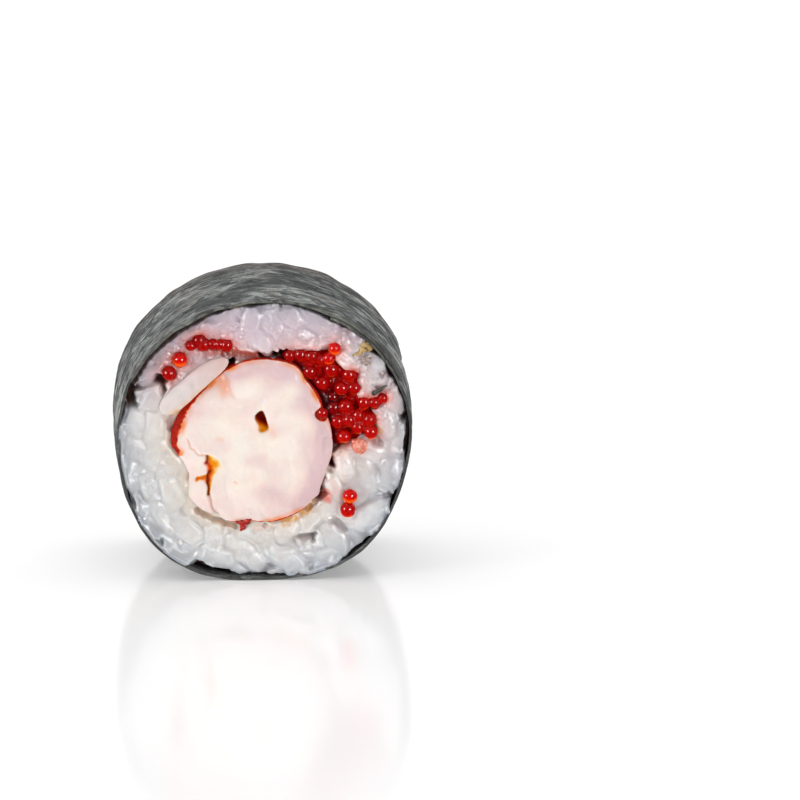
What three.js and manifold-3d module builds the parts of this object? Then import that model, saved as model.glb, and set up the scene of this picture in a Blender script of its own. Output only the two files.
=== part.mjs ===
// One slice of shrimp maki lying on its side: a sheet of nori wound round sticky rice, with a
// boiled shrimp and two seams of fish roe running through it from one cut face to the other.
//
// Millimetres, +Z up. The roll's axis runs along Y, the front cut face looks towards -Y, and the
// origin is on the table, under the middle of the slice.

import * as THREE from "three";
import { mergeVertices } from "three/addons/utils/BufferGeometryUtils.js";
import Module from "manifold-3d";

const wasm = await Module();
wasm.setup();

// ---- Driving dimensions ------------------------------------------------------------------

const ROLL_RADIUS = 17.5; // mean outer radius at the front cut
const ROLL_LENGTH = 22.5; // from cut to cut
const AXIS_HEIGHT = 16.8; // the slice has settled onto a flat spot this far under its axis
const FLARE = 0.03; // how much wider the roll is behind the front cut, as a share of its radius
const FLARE_TURN = 0.72; // share of a half wave that the flare goes through, so it narrows again

const NORI_THICKNESS = 0.3;
const LAP_GAP = 0.1; // air left between the two layers where the sheet laps over itself
const LAP_INNER_END = 62; // degrees round the roll, 0 at +X and 90 at the top
const LAP_OUTER_END = 24;
const LAP_RAMP = 20; // degrees over which the rice gives way to the inner layer
const CUT_WAVE = 0.2; // how far the knife cut wanders along Y

const CLEARANCE = 0.25; // gap between neighbouring pieces

const SHRIMP_RADIUS = 9.5;
const SHRIMP_CENTRE = new THREE.Vector2(-0.9, -0.1);
const SHRIMP_DOME = 0.5; // how far the cut flesh bulges in the middle of each face
const CLEFT_WIDTH = 1.1; // the belly cut that sets off the shrimp's small lobe
const CLEFT_PATH = [
  [-5.8, -10.4],
  [-6.5, -7.0],
  [-6.8, -4.5],
  [-6.2, -3.1],
  [-7.0, -1.8],
];
const HOLE_RADIUS = 0.6; // left by the skewer that kept the shrimp straight
const HOLE_CENTRE = new THREE.Vector2(-0.3, 2.5);
const NOTCH_RADIUS = 1.0; // a nick in the shrimp's right side, where an egg sits
const NOTCH_CENTRE = new THREE.Vector2(7.9, 3.3);

const ROE_DIAMETER = 1.7;
const ROE_END = 0.4; // share of the thin seam's thickness left at its ends
// The thick seam hugs the shrimp: its thickness, evenly spaced from its first to its last degree.
const RIGHT_ROE = { from: 77, to: -5, thickness: [0.9, 2.0, 4.6, 5.0, 6.4, 5.4, 1.2] };
// The thin one is an egg thick and lies in the rice: how far out it is, spaced the same way.
const LEFT_ROE = { from: 145, to: 106, radius: [13.7, 13.8, 14.0, 13.6, 12.2], thickness: 1.8 };

const GRAIN_LENGTH = 5.6;
const GRAIN_WIDTH = 2.7;
const GRAIN_RISE = 1.2; // relief of the grains on a cut face
const RICE_SETBACK = 0.35; // mean distance of the rice behind the cut edge of the nori
const GRAINS_PER_FACE = 75;

// A closed outline is a circle with a few waves round it: how many, how high, where one peaks.
const WRAP_WAVES = [
  { count: 2, size: 0.32, peak: 24 },
  { count: 4, size: 0.26, peak: 44 },
  { count: 5, size: 0.17, peak: 18 },
];
const SHRIMP_WAVES = [
  { count: 2, size: 0.6, peak: 74 },
  { count: 4, size: 0.2, peak: -32 },
];

// ---- Colours -----------------------------------------------------------------------------

const MATERIALS = {
  nori: { color: 0x23241e, roughness: 0.45 },
  rice: { color: 0xe6e2dc, roughness: 0.35 },
  shrimp: { color: 0xf6e0d4, roughness: 0.35 },
  roe: { color: 0xc81e12, roughness: 0.12 },
};

const material = ({ color, roughness }) =>
  new THREE.MeshStandardMaterial({ color, roughness, metalness: 0 });

// ---- Outlines ----------------------------------------------------------------------------

const { degToRad, lerp, clamp, smoothstep } = THREE.MathUtils;

const wavyRadius = (mean, waves, degrees) =>
  waves.reduce(
    (sum, w) => sum + w.size * Math.cos(w.count * degToRad(degrees - w.peak)),
    mean,
  );

/** How far the rice gives way to the sheet's inner end, from 0 to 1. */
const lapDent = (degrees) =>
  smoothstep(degrees, LAP_OUTER_END - LAP_RAMP, LAP_OUTER_END) -
  smoothstep(degrees, LAP_INNER_END, LAP_INNER_END + LAP_RAMP);

/**
 * Outer radius of the sheet where it lies on the rice; `along` is 0 at the front cut and 1 at the
 * back. The sheet's outer end is a turn lower in degrees than its inner end, so it has no dent.
 */
function wrapRadius(degrees, along) {
  const flare = 1 + FLARE * Math.sin(Math.PI * FLARE_TURN * along);
  const dent = (NORI_THICKNESS + LAP_GAP) * lapDent(degrees);
  return flare * wavyRadius(ROLL_RADIUS, WRAP_WAVES, degrees) - dent;
}

const polar = (radius, degrees) =>
  new THREE.Vector2(radius, 0).rotateAround(new THREE.Vector2(), degToRad(degrees));

/** Flattens what would sink below the table, keeping it `lift` above. */
const settle = (point, lift) =>
  new THREE.Vector2(point.x, Math.max(point.y, lift - AXIS_HEIGHT));

/** Maps a square, -1 to 1 each way, onto the unit disc with evenly spread points. */
const squareToDisc = (a, b) =>
  new THREE.Vector2(a * Math.sqrt(1 - (b * b) / 2), b * Math.sqrt(1 - (a * a) / 2));

const angleOf = (point) => THREE.MathUtils.radToDeg(Math.atan2(point.y, point.x));

/** Where the knife went, as a distance along Y from its mean plane. */
const cutWander = (point) =>
  CUT_WAVE * Math.sin(0.31 * point.x + 1.1) * Math.cos(0.27 * point.y - 0.4);

/** A repeatable stream of numbers from 0 to 1. */
function randomStream(seed) {
  let state = seed;
  return () => {
    state = (Math.imul(state, 1664525) + 1013904223) >>> 0;
    return state / 2 ** 32;
  };
}

// ---- Building solids ---------------------------------------------------------------------

/** Cuts a four-sided cell into two triangles, along its shorter diagonal. */
function splitQuad([p, q, r, s]) {
  return p.distanceTo(r) < q.distanceTo(s) ? [p, q, r, p, r, s] : [q, r, s, q, s, p];
}

/**
 * A closed block of nI x nJ x nK cells, each point of which place(a, b, c) puts in space. The
 * cells run from 0 to 1, a then b then c being a right-handed set where the block is placed.
 */
function gridSolid(nI, nJ, nK, place) {
  const corners = [];
  const at = (i, j, k) => place(i / nI, j / nJ, k / nK);
  const sides = [
    { nU: nJ, nV: nK, corner: (u, v) => at(nI, u, v) },
    { nU: nK, nV: nJ, corner: (u, v) => at(0, v, u) },
    { nU: nK, nV: nI, corner: (u, v) => at(v, nJ, u) },
    { nU: nI, nV: nK, corner: (u, v) => at(u, 0, v) },
    { nU: nI, nV: nJ, corner: (u, v) => at(u, v, nK) },
    { nU: nJ, nV: nI, corner: (u, v) => at(v, u, 0) },
  ];
  for (const { nU, nV, corner } of sides) {
    for (let u = 0; u < nU; u++) {
      for (let v = 0; v < nV; v++) {
        const quad = [corner(u, v), corner(u + 1, v), corner(u + 1, v + 1), corner(u, v + 1)];
        corners.push(...splitQuad(quad));
      }
    }
  }
  return new THREE.BufferGeometry().setFromPoints(corners);
}

function toSolid(geometry) {
  const bare = geometry.clone();
  bare.deleteAttribute("normal");
  bare.deleteAttribute("uv");
  const merged = mergeVertices(bare, 1e-4);
  return new wasm.Manifold(
    new wasm.Mesh({
      numProp: 3,
      vertProperties: new Float32Array(merged.attributes.position.array),
      triVerts: new Uint32Array(merged.index.array),
    }),
  );
}

function toGeometry(solid) {
  const mesh = solid.getMesh();
  return new THREE.BufferGeometry()
    .setAttribute("position", new THREE.BufferAttribute(mesh.vertProperties, 3))
    .setIndex(new THREE.BufferAttribute(mesh.triVerts, 1));
}

/** A strand along Y with a round-ish section: `section` gives its edge, `front` and `back` its ends. */
function strand(cells, steps, section, front, back) {
  return gridSolid(cells, steps, cells, (a, along, c) => {
    const disc = squareToDisc(2 * a - 1, 2 * c - 1);
    const edge = section(angleOf(disc), along);
    const point = disc.clone().multiplyScalar(edge.length()).add(edge.centre);
    const flat = edge.lift === undefined ? point : settle(point, edge.lift);
    return new THREE.Vector3(flat.x, lerp(front(flat), back(flat), along), flat.y);
  });
}

// ---- Nori --------------------------------------------------------------------------------

/** The sheet, wound once round the roll and a little over its own inner end. */
function noriGeometry() {
  const STEPS_ROUND = 92;
  const STEPS_ALONG = 3;
  return gridSolid(STEPS_ROUND, STEPS_ALONG, 1, (a, along, c) => {
    const degrees = lerp(LAP_OUTER_END - 360, LAP_INNER_END, a);
    const inset = c * NORI_THICKNESS;
    const point = polar(wrapRadius(degrees, along) - inset, degrees);
    const flat = settle(point, inset);
    const half = ROLL_LENGTH / 2;
    return new THREE.Vector3(flat.x, lerp(-half, half, along) + cutWander(flat), flat.y);
  });
}

// ---- Shrimp ------------------------------------------------------------------------------

/** The shrimp's plain rod, `grow` larger all round, with its faces `reach` beyond the nori's cut. */
function shrimpRod(cells, grow, reach) {
  const section = (degrees) => ({
    length: () => grow + wavyRadius(SHRIMP_RADIUS, SHRIMP_WAVES, degrees),
    centre: SHRIMP_CENTRE,
  });
  const dome = (point) => {
    const off = point.clone().sub(SHRIMP_CENTRE).length() / SHRIMP_RADIUS;
    return SHRIMP_DOME * (1 - clamp(off * off, 0, 1));
  };
  const face = (side) => (point) =>
    side * (ROLL_LENGTH / 2 - SHRIMP_DOME + reach + dome(point)) + cutWander(point);
  return strand(cells, 3, section, face(-1), face(1));
}

/** A blade that follows the belly cut through the whole length of the shrimp. */
function cleftBlade() {
  const path = new THREE.SplineCurve(CLEFT_PATH.map(([x, z]) => new THREE.Vector2(x, z)));
  const STEPS = 10;
  return gridSolid(STEPS, 1, 1, (a, along, c) => {
    const tangent = path.getTangent(a);
    const normal = new THREE.Vector2(-tangent.y, tangent.x);
    const halfWidth = (CLEFT_WIDTH / 2) * lerp(0.35, 1, Math.sin(Math.PI * a * a));
    const point = path.getPoint(a).addScaledVector(normal, (2 * c - 1) * halfWidth);
    return new THREE.Vector3(point.x, lerp(-1, 1, along) * ROLL_LENGTH, point.y);
  });
}

/** A round bore along the whole length of the slice. */
const bore = (radius, centre) =>
  new THREE.CylinderGeometry(radius, radius, 2 * ROLL_LENGTH, 10).translate(centre.x, 0, centre.y);

function shrimpGeometry() {
  const FACE_CELLS = 16;
  return toGeometry(
    toSolid(shrimpRod(FACE_CELLS, 0, 0))
      .subtract(toSolid(cleftBlade()))
      .subtract(toSolid(bore(HOLE_RADIUS, HOLE_CENTRE)))
      .subtract(toSolid(bore(NOTCH_RADIUS, NOTCH_CENTRE))),
  );
}

// ---- Roe ---------------------------------------------------------------------------------

/** Distance from the roll's axis to the shrimp's edge, found along a ray from the axis. */
function shrimpReach(degrees) {
  const STEPS = 24;
  let radius = SHRIMP_RADIUS;
  for (let i = 0; i < STEPS; i++) {
    const offset = polar(radius, degrees).sub(SHRIMP_CENTRE);
    radius += wavyRadius(SHRIMP_RADIUS, SHRIMP_WAVES, angleOf(offset)) - offset.length();
  }
  return radius;
}

/** Eggs standing out of a cut face: round bumps one egg apart, offset on every other row. */
function eggRelief(point) {
  const pitch = Math.PI / ROE_DIAMETER;
  return 0.3 * ROE_DIAMETER * Math.abs(Math.sin(pitch * point.x) * Math.cos(pitch * point.y));
}

/** A seam of roe: band(s) gives its inner and outer radius from one end, s = 0, to the other. */
function roeSeam(cellsLong, cellsAcross, seam, band, grow, reach) {
  return gridSolid(cellsLong, 4, cellsAcross, (s, along, c) => {
    const { inner, outer } = band(s);
    const endGrow = (grow / ((inner + outer) / 2)) * THREE.MathUtils.RAD2DEG;
    const degrees = lerp(seam.from + endGrow, seam.to - endGrow, s);
    const point = polar(lerp(inner - grow, outer + grow, c), degrees);
    const end = ROLL_LENGTH / 2 - ROE_DIAMETER / 2 + reach + eggRelief(point);
    return new THREE.Vector3(point.x, lerp(-end, end, along), point.y);
  });
}

/** Reads evenly spaced values at s, from 0 at the first to 1 at the last. */
const readAt = (values, s) =>
  new THREE.SplineCurve(values.map((v, i) => new THREE.Vector2(i, v))).getPoint(s).y;

/** The thick seam, which hugs the shrimp's upper right side. */
function rightBand(s) {
  const degrees = lerp(RIGHT_ROE.from, RIGHT_ROE.to, s);
  const inner = shrimpReach(degrees) + CLEARANCE;
  return { inner, outer: inner + readAt(RIGHT_ROE.thickness, s) };
}

/** The thin seam, one egg thick, which lies in the rice above the shrimp's left side. */
function leftBand(s) {
  const middle = readAt(LEFT_ROE.radius, s);
  const roundedEnd = (1 - Math.abs(2 * s - 1) ** 6) ** 0.5;
  const half = (LEFT_ROE.thickness / 2) * lerp(ROE_END, 1, roundedEnd);
  return { inner: middle - half, outer: middle + half };
}

const rightRoe = (grow, reach) => roeSeam(20, 6, RIGHT_ROE, rightBand, grow, reach);
const leftRoe = (grow, reach) => roeSeam(10, 3, LEFT_ROE, leftBand, grow, reach);

// ---- Rice --------------------------------------------------------------------------------

/** Grains lying at all angles on a cut face, as the height of the tallest one at a point. */
function grainRelief(seed) {
  const random = randomStream(seed);
  const grains = Array.from({ length: GRAINS_PER_FACE }, () => ({
    centre: polar(ROLL_RADIUS * lerp(0.55, 0.97, random()), 360 * random()),
    turn: Math.PI * random(),
    rise: GRAIN_RISE * lerp(0.45, 1, random()),
  }));
  return (point) =>
    grains.reduce((height, grain) => {
      const local = point.clone().rotateAround(grain.centre, -grain.turn).sub(grain.centre);
      const u = (2 * local.x) / GRAIN_LENGTH;
      const v = (2 * local.y) / GRAIN_WIDTH;
      return Math.max(height, grain.rise * (1 - u * u - v * v));
    }, 0);
}

/** The whole body of rice, before the filling is taken out of it. */
function riceBody() {
  const FACE_CELLS = 31;
  const section = (degrees, along) => ({
    length: () => wrapRadius(degrees, along) - NORI_THICKNESS - CLEARANCE,
    centre: new THREE.Vector2(),
    lift: NORI_THICKNESS + CLEARANCE,
  });
  const frontGrains = grainRelief(11);
  const backGrains = grainRelief(29);
  const plane = ROLL_LENGTH / 2 - RICE_SETBACK - GRAIN_RISE / 2;
  const front = (point) => -plane - frontGrains(point) + cutWander(point);
  const back = (point) => plane + backGrains(point) + cutWander(point);
  return strand(FACE_CELLS, 4, section, front, back);
}

function riceGeometry() {
  const BEYOND = 4; // the tools that cut the filling's channels stick out this far
  return toGeometry(
    toSolid(riceBody())
      .subtract(toSolid(shrimpRod(20, CLEARANCE, BEYOND)))
      .subtract(toSolid(rightRoe(CLEARANCE, BEYOND)))
      .subtract(toSolid(leftRoe(CLEARANCE, BEYOND))),
  );
}

// ---- The slice ---------------------------------------------------------------------------

function piece(name, geometry, look) {
  geometry.computeVertexNormals();
  const mesh = new THREE.Mesh(geometry, material(look));
  mesh.name = name;
  return mesh;
}

const slice = new THREE.Group();
slice.position.z = AXIS_HEIGHT;
slice.add(
  piece("nori", noriGeometry(), MATERIALS.nori),
  piece("rice", riceGeometry(), MATERIALS.rice),
  piece("shrimp", shrimpGeometry(), MATERIALS.shrimp),
  piece("roe_right", rightRoe(0, 0), MATERIALS.roe),
  piece("roe_left", leftRoe(0, 0), MATERIALS.roe),
);

export default slice;
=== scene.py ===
"""The looks of one slice of shrimp maki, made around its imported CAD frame.

Shapes are worked out in millimetres, measured from the roll's axis: x to the right, y along the
roll (the front cut is at negative y) and z up. add_piece() turns them into metres in the frame.
"""

import math

import bmesh
import bpy
import numpy as np
from mathutils import Matrix, Vector


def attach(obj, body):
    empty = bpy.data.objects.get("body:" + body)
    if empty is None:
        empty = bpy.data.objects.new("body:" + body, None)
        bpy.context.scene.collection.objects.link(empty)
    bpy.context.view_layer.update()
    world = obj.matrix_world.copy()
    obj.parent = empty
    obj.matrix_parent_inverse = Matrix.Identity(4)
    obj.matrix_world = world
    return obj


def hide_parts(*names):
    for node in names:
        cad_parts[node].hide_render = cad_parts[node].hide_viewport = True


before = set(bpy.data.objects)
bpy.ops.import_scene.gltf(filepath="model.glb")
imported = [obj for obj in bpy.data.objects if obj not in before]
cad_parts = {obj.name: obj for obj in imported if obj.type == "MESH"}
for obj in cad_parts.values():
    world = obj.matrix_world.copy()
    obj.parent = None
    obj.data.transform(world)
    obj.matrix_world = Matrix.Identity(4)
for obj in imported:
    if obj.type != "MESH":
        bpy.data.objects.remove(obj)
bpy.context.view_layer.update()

MM = 0.001
AXIS_HEIGHT = 16.8  # of the roll's axis above the table
HALF_LENGTH = 11.25  # from the middle of the roll to either cut
FRONT, BACK = -1, 1

NORI_THICKNESS = 0.3
MEAN_RADIUS = 17  # for laying the nori's pattern out flat
LAP_GAP = 0.1
LAP_INNER, LAP_OUTER, LAP_RAMP = 62, 24, 20  # degrees, 0 at +x and 90 at the top

SHRIMP_CENTRE = np.array((-0.9, -0.1))
SHRIMP_DOME = 0.5


# ---- Numbers ----


def smoothstep(low, high, value):
    t = np.clip((value - low) / (high - low), 0, 1)
    return t * t * (3 - 2 * t)


def cross(a, b):
    return a[..., 0] * b[..., 1] - a[..., 1] * b[..., 0]


def directions(degrees):
    angle = np.radians(degrees)
    return np.stack([np.cos(angle), np.sin(angle)], axis=-1)


def bearing(flat):
    """Which way (x, z) points lie, in degrees."""
    return np.degrees(np.arctan2(flat[:, 1], flat[:, 0]))


def around(table, degrees):
    """Reads a table of degrees and values at any angle."""
    places, values = np.array(table, float).T
    return np.interp(degrees, places, values, period=360)


def spot(flat, centre, reach):
    """1 at a centre, fading to nothing over about twice its reach."""
    return np.exp(-(((flat - centre) / reach) ** 2).sum(axis=1))


class Ripples:
    """Smooth seeded noise, mostly within -1 to 1: the sum of many plane waves."""

    def __init__(self, seed, wavelength, stretch=(1, 1, 1), count=28):
        rng = np.random.default_rng(seed)
        heading = rng.normal(size=(count, 3))
        heading /= np.linalg.norm(heading, axis=1, keepdims=True)
        length = wavelength * rng.uniform(0.75, 1.6, (count, 1))
        self.waves = 2 * np.pi * heading / length / np.array(stretch)
        self.phase = rng.uniform(0, 2 * np.pi, count)

    def __call__(self, points):
        total = np.cos(points @ self.waves.T + self.phase).sum(axis=1)
        return total * math.sqrt(1 / len(self.phase))


# ---- Outlines read from the frame ----


def cad_section(node, y):
    """The segments of a CAD node's outline in the plane across the roll at y."""
    mesh = bmesh.new()
    mesh.from_mesh(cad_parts[node].data)
    cut = bmesh.ops.bisect_plane(
        mesh,
        geom=mesh.verts[:] + mesh.edges[:] + mesh.faces[:],
        plane_co=(0, y * MM, 0),
        plane_no=(0, 1, 0),
    )
    edges = [part for part in cut["geom_cut"] if isinstance(part, bmesh.types.BMEdge)]
    segments = np.array([[(v.co.x, v.co.z) for v in edge.verts] for edge in edges]) / MM
    mesh.free()
    return segments - (0, AXIS_HEIGHT)


def signed_distance(points, segments):
    """How far (x, z) points are from an outline: negative inside it."""
    start, end = segments[:, 0], segments[:, 1]
    edge = end - start
    at_a_time = 8000
    result = np.empty(len(points))
    for chunk in np.array_split(np.arange(len(points)), len(points) // at_a_time + 1):
        here = points[chunk, None, :]
        t = ((here - start) * edge).sum(axis=2) / (edge * edge).sum(axis=1)
        nearest = start + np.clip(t, 0, 1)[..., None] * edge
        distance = np.linalg.norm(here - nearest, axis=2).min(axis=1)
        spans = (start[:, 1] > here[..., 1]) != (end[:, 1] > here[..., 1])
        slope = edge[:, 0] / np.where(edge[:, 1] == 0, 1, edge[:, 1])
        passes = here[..., 0] < start[:, 0] + slope * (here[..., 1] - start[:, 1])
        inside = (spans & passes).sum(axis=1) % 2 == 1
        result[chunk] = np.where(inside, -distance, distance)
    return result


def polar_radius(segments, centre, degrees):
    """The outermost crossing of an outline by rays from a centre."""
    ray = directions(degrees)[:, None, :]
    start = segments[:, 0] - centre
    edge = segments[:, 1] - segments[:, 0]
    along = -cross(start, ray) / (cross(edge, ray) + 1e-12)
    reach = ((start + along[..., None] * edge) * ray).sum(axis=2)
    return np.where((along >= 0) & (along <= 1), reach, 0).max(axis=1)


def blur_round(values, reach):
    """Averages a closed ring of values over `reach` places either way."""
    shifts = range(-reach, reach + 1)
    return np.mean([np.roll(values, shift, axis=-1) for shift in shifts], axis=0)


RING = np.arange(0, 360, 0.5)


def lap_dent(degrees):
    """How far the rice gives way to the sheet's inner end, from 0 to 1."""
    opening = smoothstep(LAP_OUTER - LAP_RAMP, LAP_OUTER, degrees)
    return opening - smoothstep(LAP_INNER, LAP_INNER + LAP_RAMP, degrees)


class Wrap:
    """Outer radius of the sheet's outer layer, at any angle and place along the roll."""

    STATIONS = (-10.9, -3.7, 3.7, 10.9)

    def __init__(self):
        rows = [polar_radius(cad_section("nori", y), (0, 0), RING) for y in self.STATIONS]
        uncovered = lap_dent(RING) * (RING < LAP_OUTER)
        full = np.array(rows) + uncovered * (NORI_THICKNESS + LAP_GAP)
        smooth = blur_round(blur_round(full, 5), 5)
        self.powers = np.polyfit(self.STATIONS, smooth, len(self.STATIONS) - 1)

    def __call__(self, degrees, y):
        turn = np.mod(degrees, 360)
        radius = 0
        for row in self.powers:
            radius = radius * y + np.interp(turn, RING, row, period=360)
        return radius

    def inside(self, degrees, y):
        """Radius of the nori's inner surface, where the rice leans on it."""
        turn = np.mod(degrees, 360)
        dent = (NORI_THICKNESS + LAP_GAP) * lap_dent(turn)
        return self(degrees, y) - dent - NORI_THICKNESS


wrap = Wrap()
ROE_NODES = ("roe_right", "roe_left")
NEAR_MIDDLE = 1.3  # where along the roll the fillings' outlines are read
FILLINGS = {name: cad_section(name, NEAR_MIDDLE) for name in ("shrimp", *ROE_NODES)}

# The shrimp's edge: degrees round its centre, and how far out it lies.
SHRIMP_EDGE = [
    (2, 9.0), (16, 9.0), (27, 8.85), (33, 9.15), (47, 9.5), (53, 9.65), (59, 10.3), (66, 10.5),
    (80, 10.25), (100, 9.85), (118, 9.45), (132, 9.3), (147, 9.4), (161, 9.95), (172, 10.2),
    (182, 10.15), (187, 9.5), (196, 8.9), (205, 8.8), (213, 9.7), (219, 10.4), (232, 10.5),
    (239, 10.15), (241, 9.85), (245, 10.15), (252, 10.15), (260, 9.7), (268, 9.55), (279, 9.9),
    (295, 9.75), (306, 9.85), (313, 9.6), (319, 9.8), (324, 9.3), (338, 8.9), (352, 9.05),
]


def shrimp_edge(degrees):
    """How far out from its centre the shrimp reaches, at any angle."""
    nearby = np.asarray(degrees)[..., None] + np.linspace(-2, 2, 9)
    return around(SHRIMP_EDGE, nearby).mean(axis=-1)


def cut_wander(x, z):
    """Where the knife went, as a distance along the roll from its mean plane."""
    return 0.2 * np.sin(0.31 * x + 1.1) * np.cos(0.27 * z - 0.4)


def settle(z, lift):
    """Keeps what would sink into the table this far above it."""
    return np.maximum(z, lift - AXIS_HEIGHT)


# ---- Making pieces ----


def new_mesh(name, points, faces):
    mesh = bpy.data.meshes.new(name)
    mesh.from_pydata(np.asarray(points, float).tolist(), [], faces)
    mesh.validate()
    return mesh


def mesh_points(mesh):
    points = np.empty(len(mesh.vertices) * 3, np.float32)
    mesh.vertices.foreach_get("co", points)
    return points.reshape(-1, 3).astype(float)


def move_points(mesh, points):
    mesh.vertices.foreach_set("co", np.asarray(points, np.float32).ravel())
    mesh.update()


def set_attribute(mesh, name, values):
    values = np.asarray(values, np.float32)
    kind = "FLOAT" if values.ndim == 1 else "FLOAT_VECTOR"
    key = "value" if values.ndim == 1 else "vector"
    attribute = mesh.attributes.new(name, kind, "POINT")
    attribute.data.foreach_set(key, values.ravel())


def set_look(mesh, name, values):
    """Stores how far a look holds at each point, 0 to 1, for the material to read."""
    set_attribute(mesh, name, np.clip(values, 0, 1))


def new_object(name, data):
    thing = bpy.data.objects.new(name, data)
    bpy.context.scene.collection.objects.link(thing)
    return thing


def add_piece(name, mesh, material, replaces=()):
    """Puts a mesh made in millimetres about the roll's axis into the frame."""
    mesh.transform(Matrix.Translation((0, 0, AXIS_HEIGHT * MM)) @ Matrix.Scale(MM, 4))
    mesh.shade_smooth()
    mesh.materials.append(material)
    piece = new_object(name, mesh)
    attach(piece, "root")
    if replaces:
        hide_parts(*replaces)
    return piece


def face_outwards(mesh):
    solid = bmesh.new()
    solid.from_mesh(mesh)
    bmesh.ops.recalc_face_normals(solid, faces=solid.faces)
    solid.to_mesh(mesh)
    solid.free()


def melted(heap, grain, rounds):
    """One closed mesh from a heap of them, resolved to this grain and smoothed."""
    holder = new_object("holder", heap)
    remesh = holder.modifiers.new("remesh", "REMESH")
    remesh.mode, remesh.voxel_size = "VOXEL", grain
    smooth = holder.modifiers.new("smooth", "SMOOTH")
    smooth.factor, smooth.iterations = 0.5, rounds
    graph = bpy.context.evaluated_depsgraph_get()
    result = bpy.data.meshes.new_from_object(holder.evaluated_get(graph))
    bpy.data.objects.remove(holder)
    bpy.data.meshes.remove(heap)
    return result


def grid_faces(rows, columns, first=0, flip=False):
    """Quads of a grid of points laid out row by row from the first one."""
    corner = first + (np.arange(rows - 1)[:, None] * columns + np.arange(columns - 1)).ravel()
    quads = np.stack([corner, corner + 1, corner + columns + 1, corner + columns], axis=1)
    return (quads[:, ::-1] if flip else quads).tolist()


def sphere_mesh(subdivisions):
    ball = bmesh.new()
    bmesh.ops.create_icosphere(ball, subdivisions=subdivisions, radius=1)
    points = np.array([v.co for v in ball.verts])
    faces = np.array([[v.index for v in face.verts] for face in ball.faces])
    ball.free()
    return points, faces


BALL, BALL_FACES = sphere_mesh(3)


def balls(centres, radii):
    """Points and faces of many balls. The radii are numbers, or rows of three to squash by."""
    placed = centres[:, None] + BALL * radii.reshape(len(centres), 1, -1)
    offsets = np.arange(len(centres))[:, None, None] * len(BALL)
    return placed.reshape(-1, 3), (BALL_FACES + offsets).reshape(-1, 3).tolist()


# ---- Materials ----


class Nodes:
    """A short way to write the node tree of a material or a world."""

    def __init__(self, owner):
        owner.use_nodes = True
        self.owner = owner
        self.tree = owner.node_tree

    def add(self, kind, inputs=None, **settings):
        node = self.tree.nodes.new(kind)
        for key, value in settings.items():
            setattr(node, key, value)
        for key, value in (inputs or {}).items():
            self.set(node, key, value)
        return node

    def set(self, node, key, value):
        socket = node.inputs[key]
        if isinstance(value, bpy.types.NodeSocket):
            self.tree.links.new(value, socket)
        else:
            socket.default_value = value

    def surface(self, **inputs):
        shader = self.tree.nodes["Principled BSDF"]
        for key, value in inputs.items():
            self.set(shader, key.replace("_", " ").title().replace("Ior", "IOR"), value)

    def attribute(self, name, output="Fac"):
        return self.add("ShaderNodeAttribute", attribute_name=name).outputs[output]

    def position(self):
        """Where a point is, in millimetres."""
        return self.scaled(self.add("ShaderNodeTexCoord").outputs["Object"], (1 / MM,) * 3)

    def scaled(self, where, scale):
        return self.add("ShaderNodeMapping", {"Vector": where, "Scale": scale}).outputs[0]

    def noise(self, where, size, detail=3, roughness=0.55, distortion=0.0, output="Fac"):
        """Noise with lumps about `size` across, in the units of `where`."""
        inputs = {"Vector": where, "Scale": 1 / size, "Detail": detail}
        inputs |= {"Roughness": roughness, "Distortion": distortion}
        return self.add("ShaderNodeTexNoise", inputs).outputs[output]

    def ramp(self, value, low, high, to_low=0.0, to_high=1.0):
        inputs = {"Value": value, "From Min": low, "From Max": high}
        inputs |= {"To Min": to_low, "To Max": to_high}
        return self.add("ShaderNodeMapRange", inputs, interpolation_type="SMOOTHSTEP").outputs[0]

    def math(self, operation, a, b=0.0):
        return self.add("ShaderNodeMath", {0: a, 1: b}, operation=operation).outputs[0]

    def mix(self, factor, a, b):
        return self.add("ShaderNodeMix", {0: factor, 6: a, 7: b}, data_type="RGBA").outputs[2]

    def tint(self, base, value, low, high, amount, shade):
        """Lays a colour over the base where a value is high, by `amount` at the most."""
        return self.mix(self.ramp(value, low, high, 0, amount), base, colour(*shade))

    def layers(self, base, shades):
        """Lays colours over the base, each as far as the attribute of its name says."""
        for name, shade in shades.items():
            base = self.mix(self.attribute(name), base, colour(*shade))
        return base

    def bump(self, height, depth, normal=None):
        """A bump `depth` millimetres deep where the height goes from 0 to 1."""
        below = {} if normal is None else {"Normal": normal}
        inputs = {"Height": height, "Distance": depth * MM} | below
        return self.add("ShaderNodeBump", inputs).outputs[0]


def colour(red, green, blue):
    """A linear colour from the 0 to 255 values that a screen shows."""
    values = np.array([red, green, blue]) / 255
    linear = np.where(values > 0.04045, ((values + 0.055) / 1.055) ** 2.4, values / 12.92)
    return (*linear.tolist(), 1.0)


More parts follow.
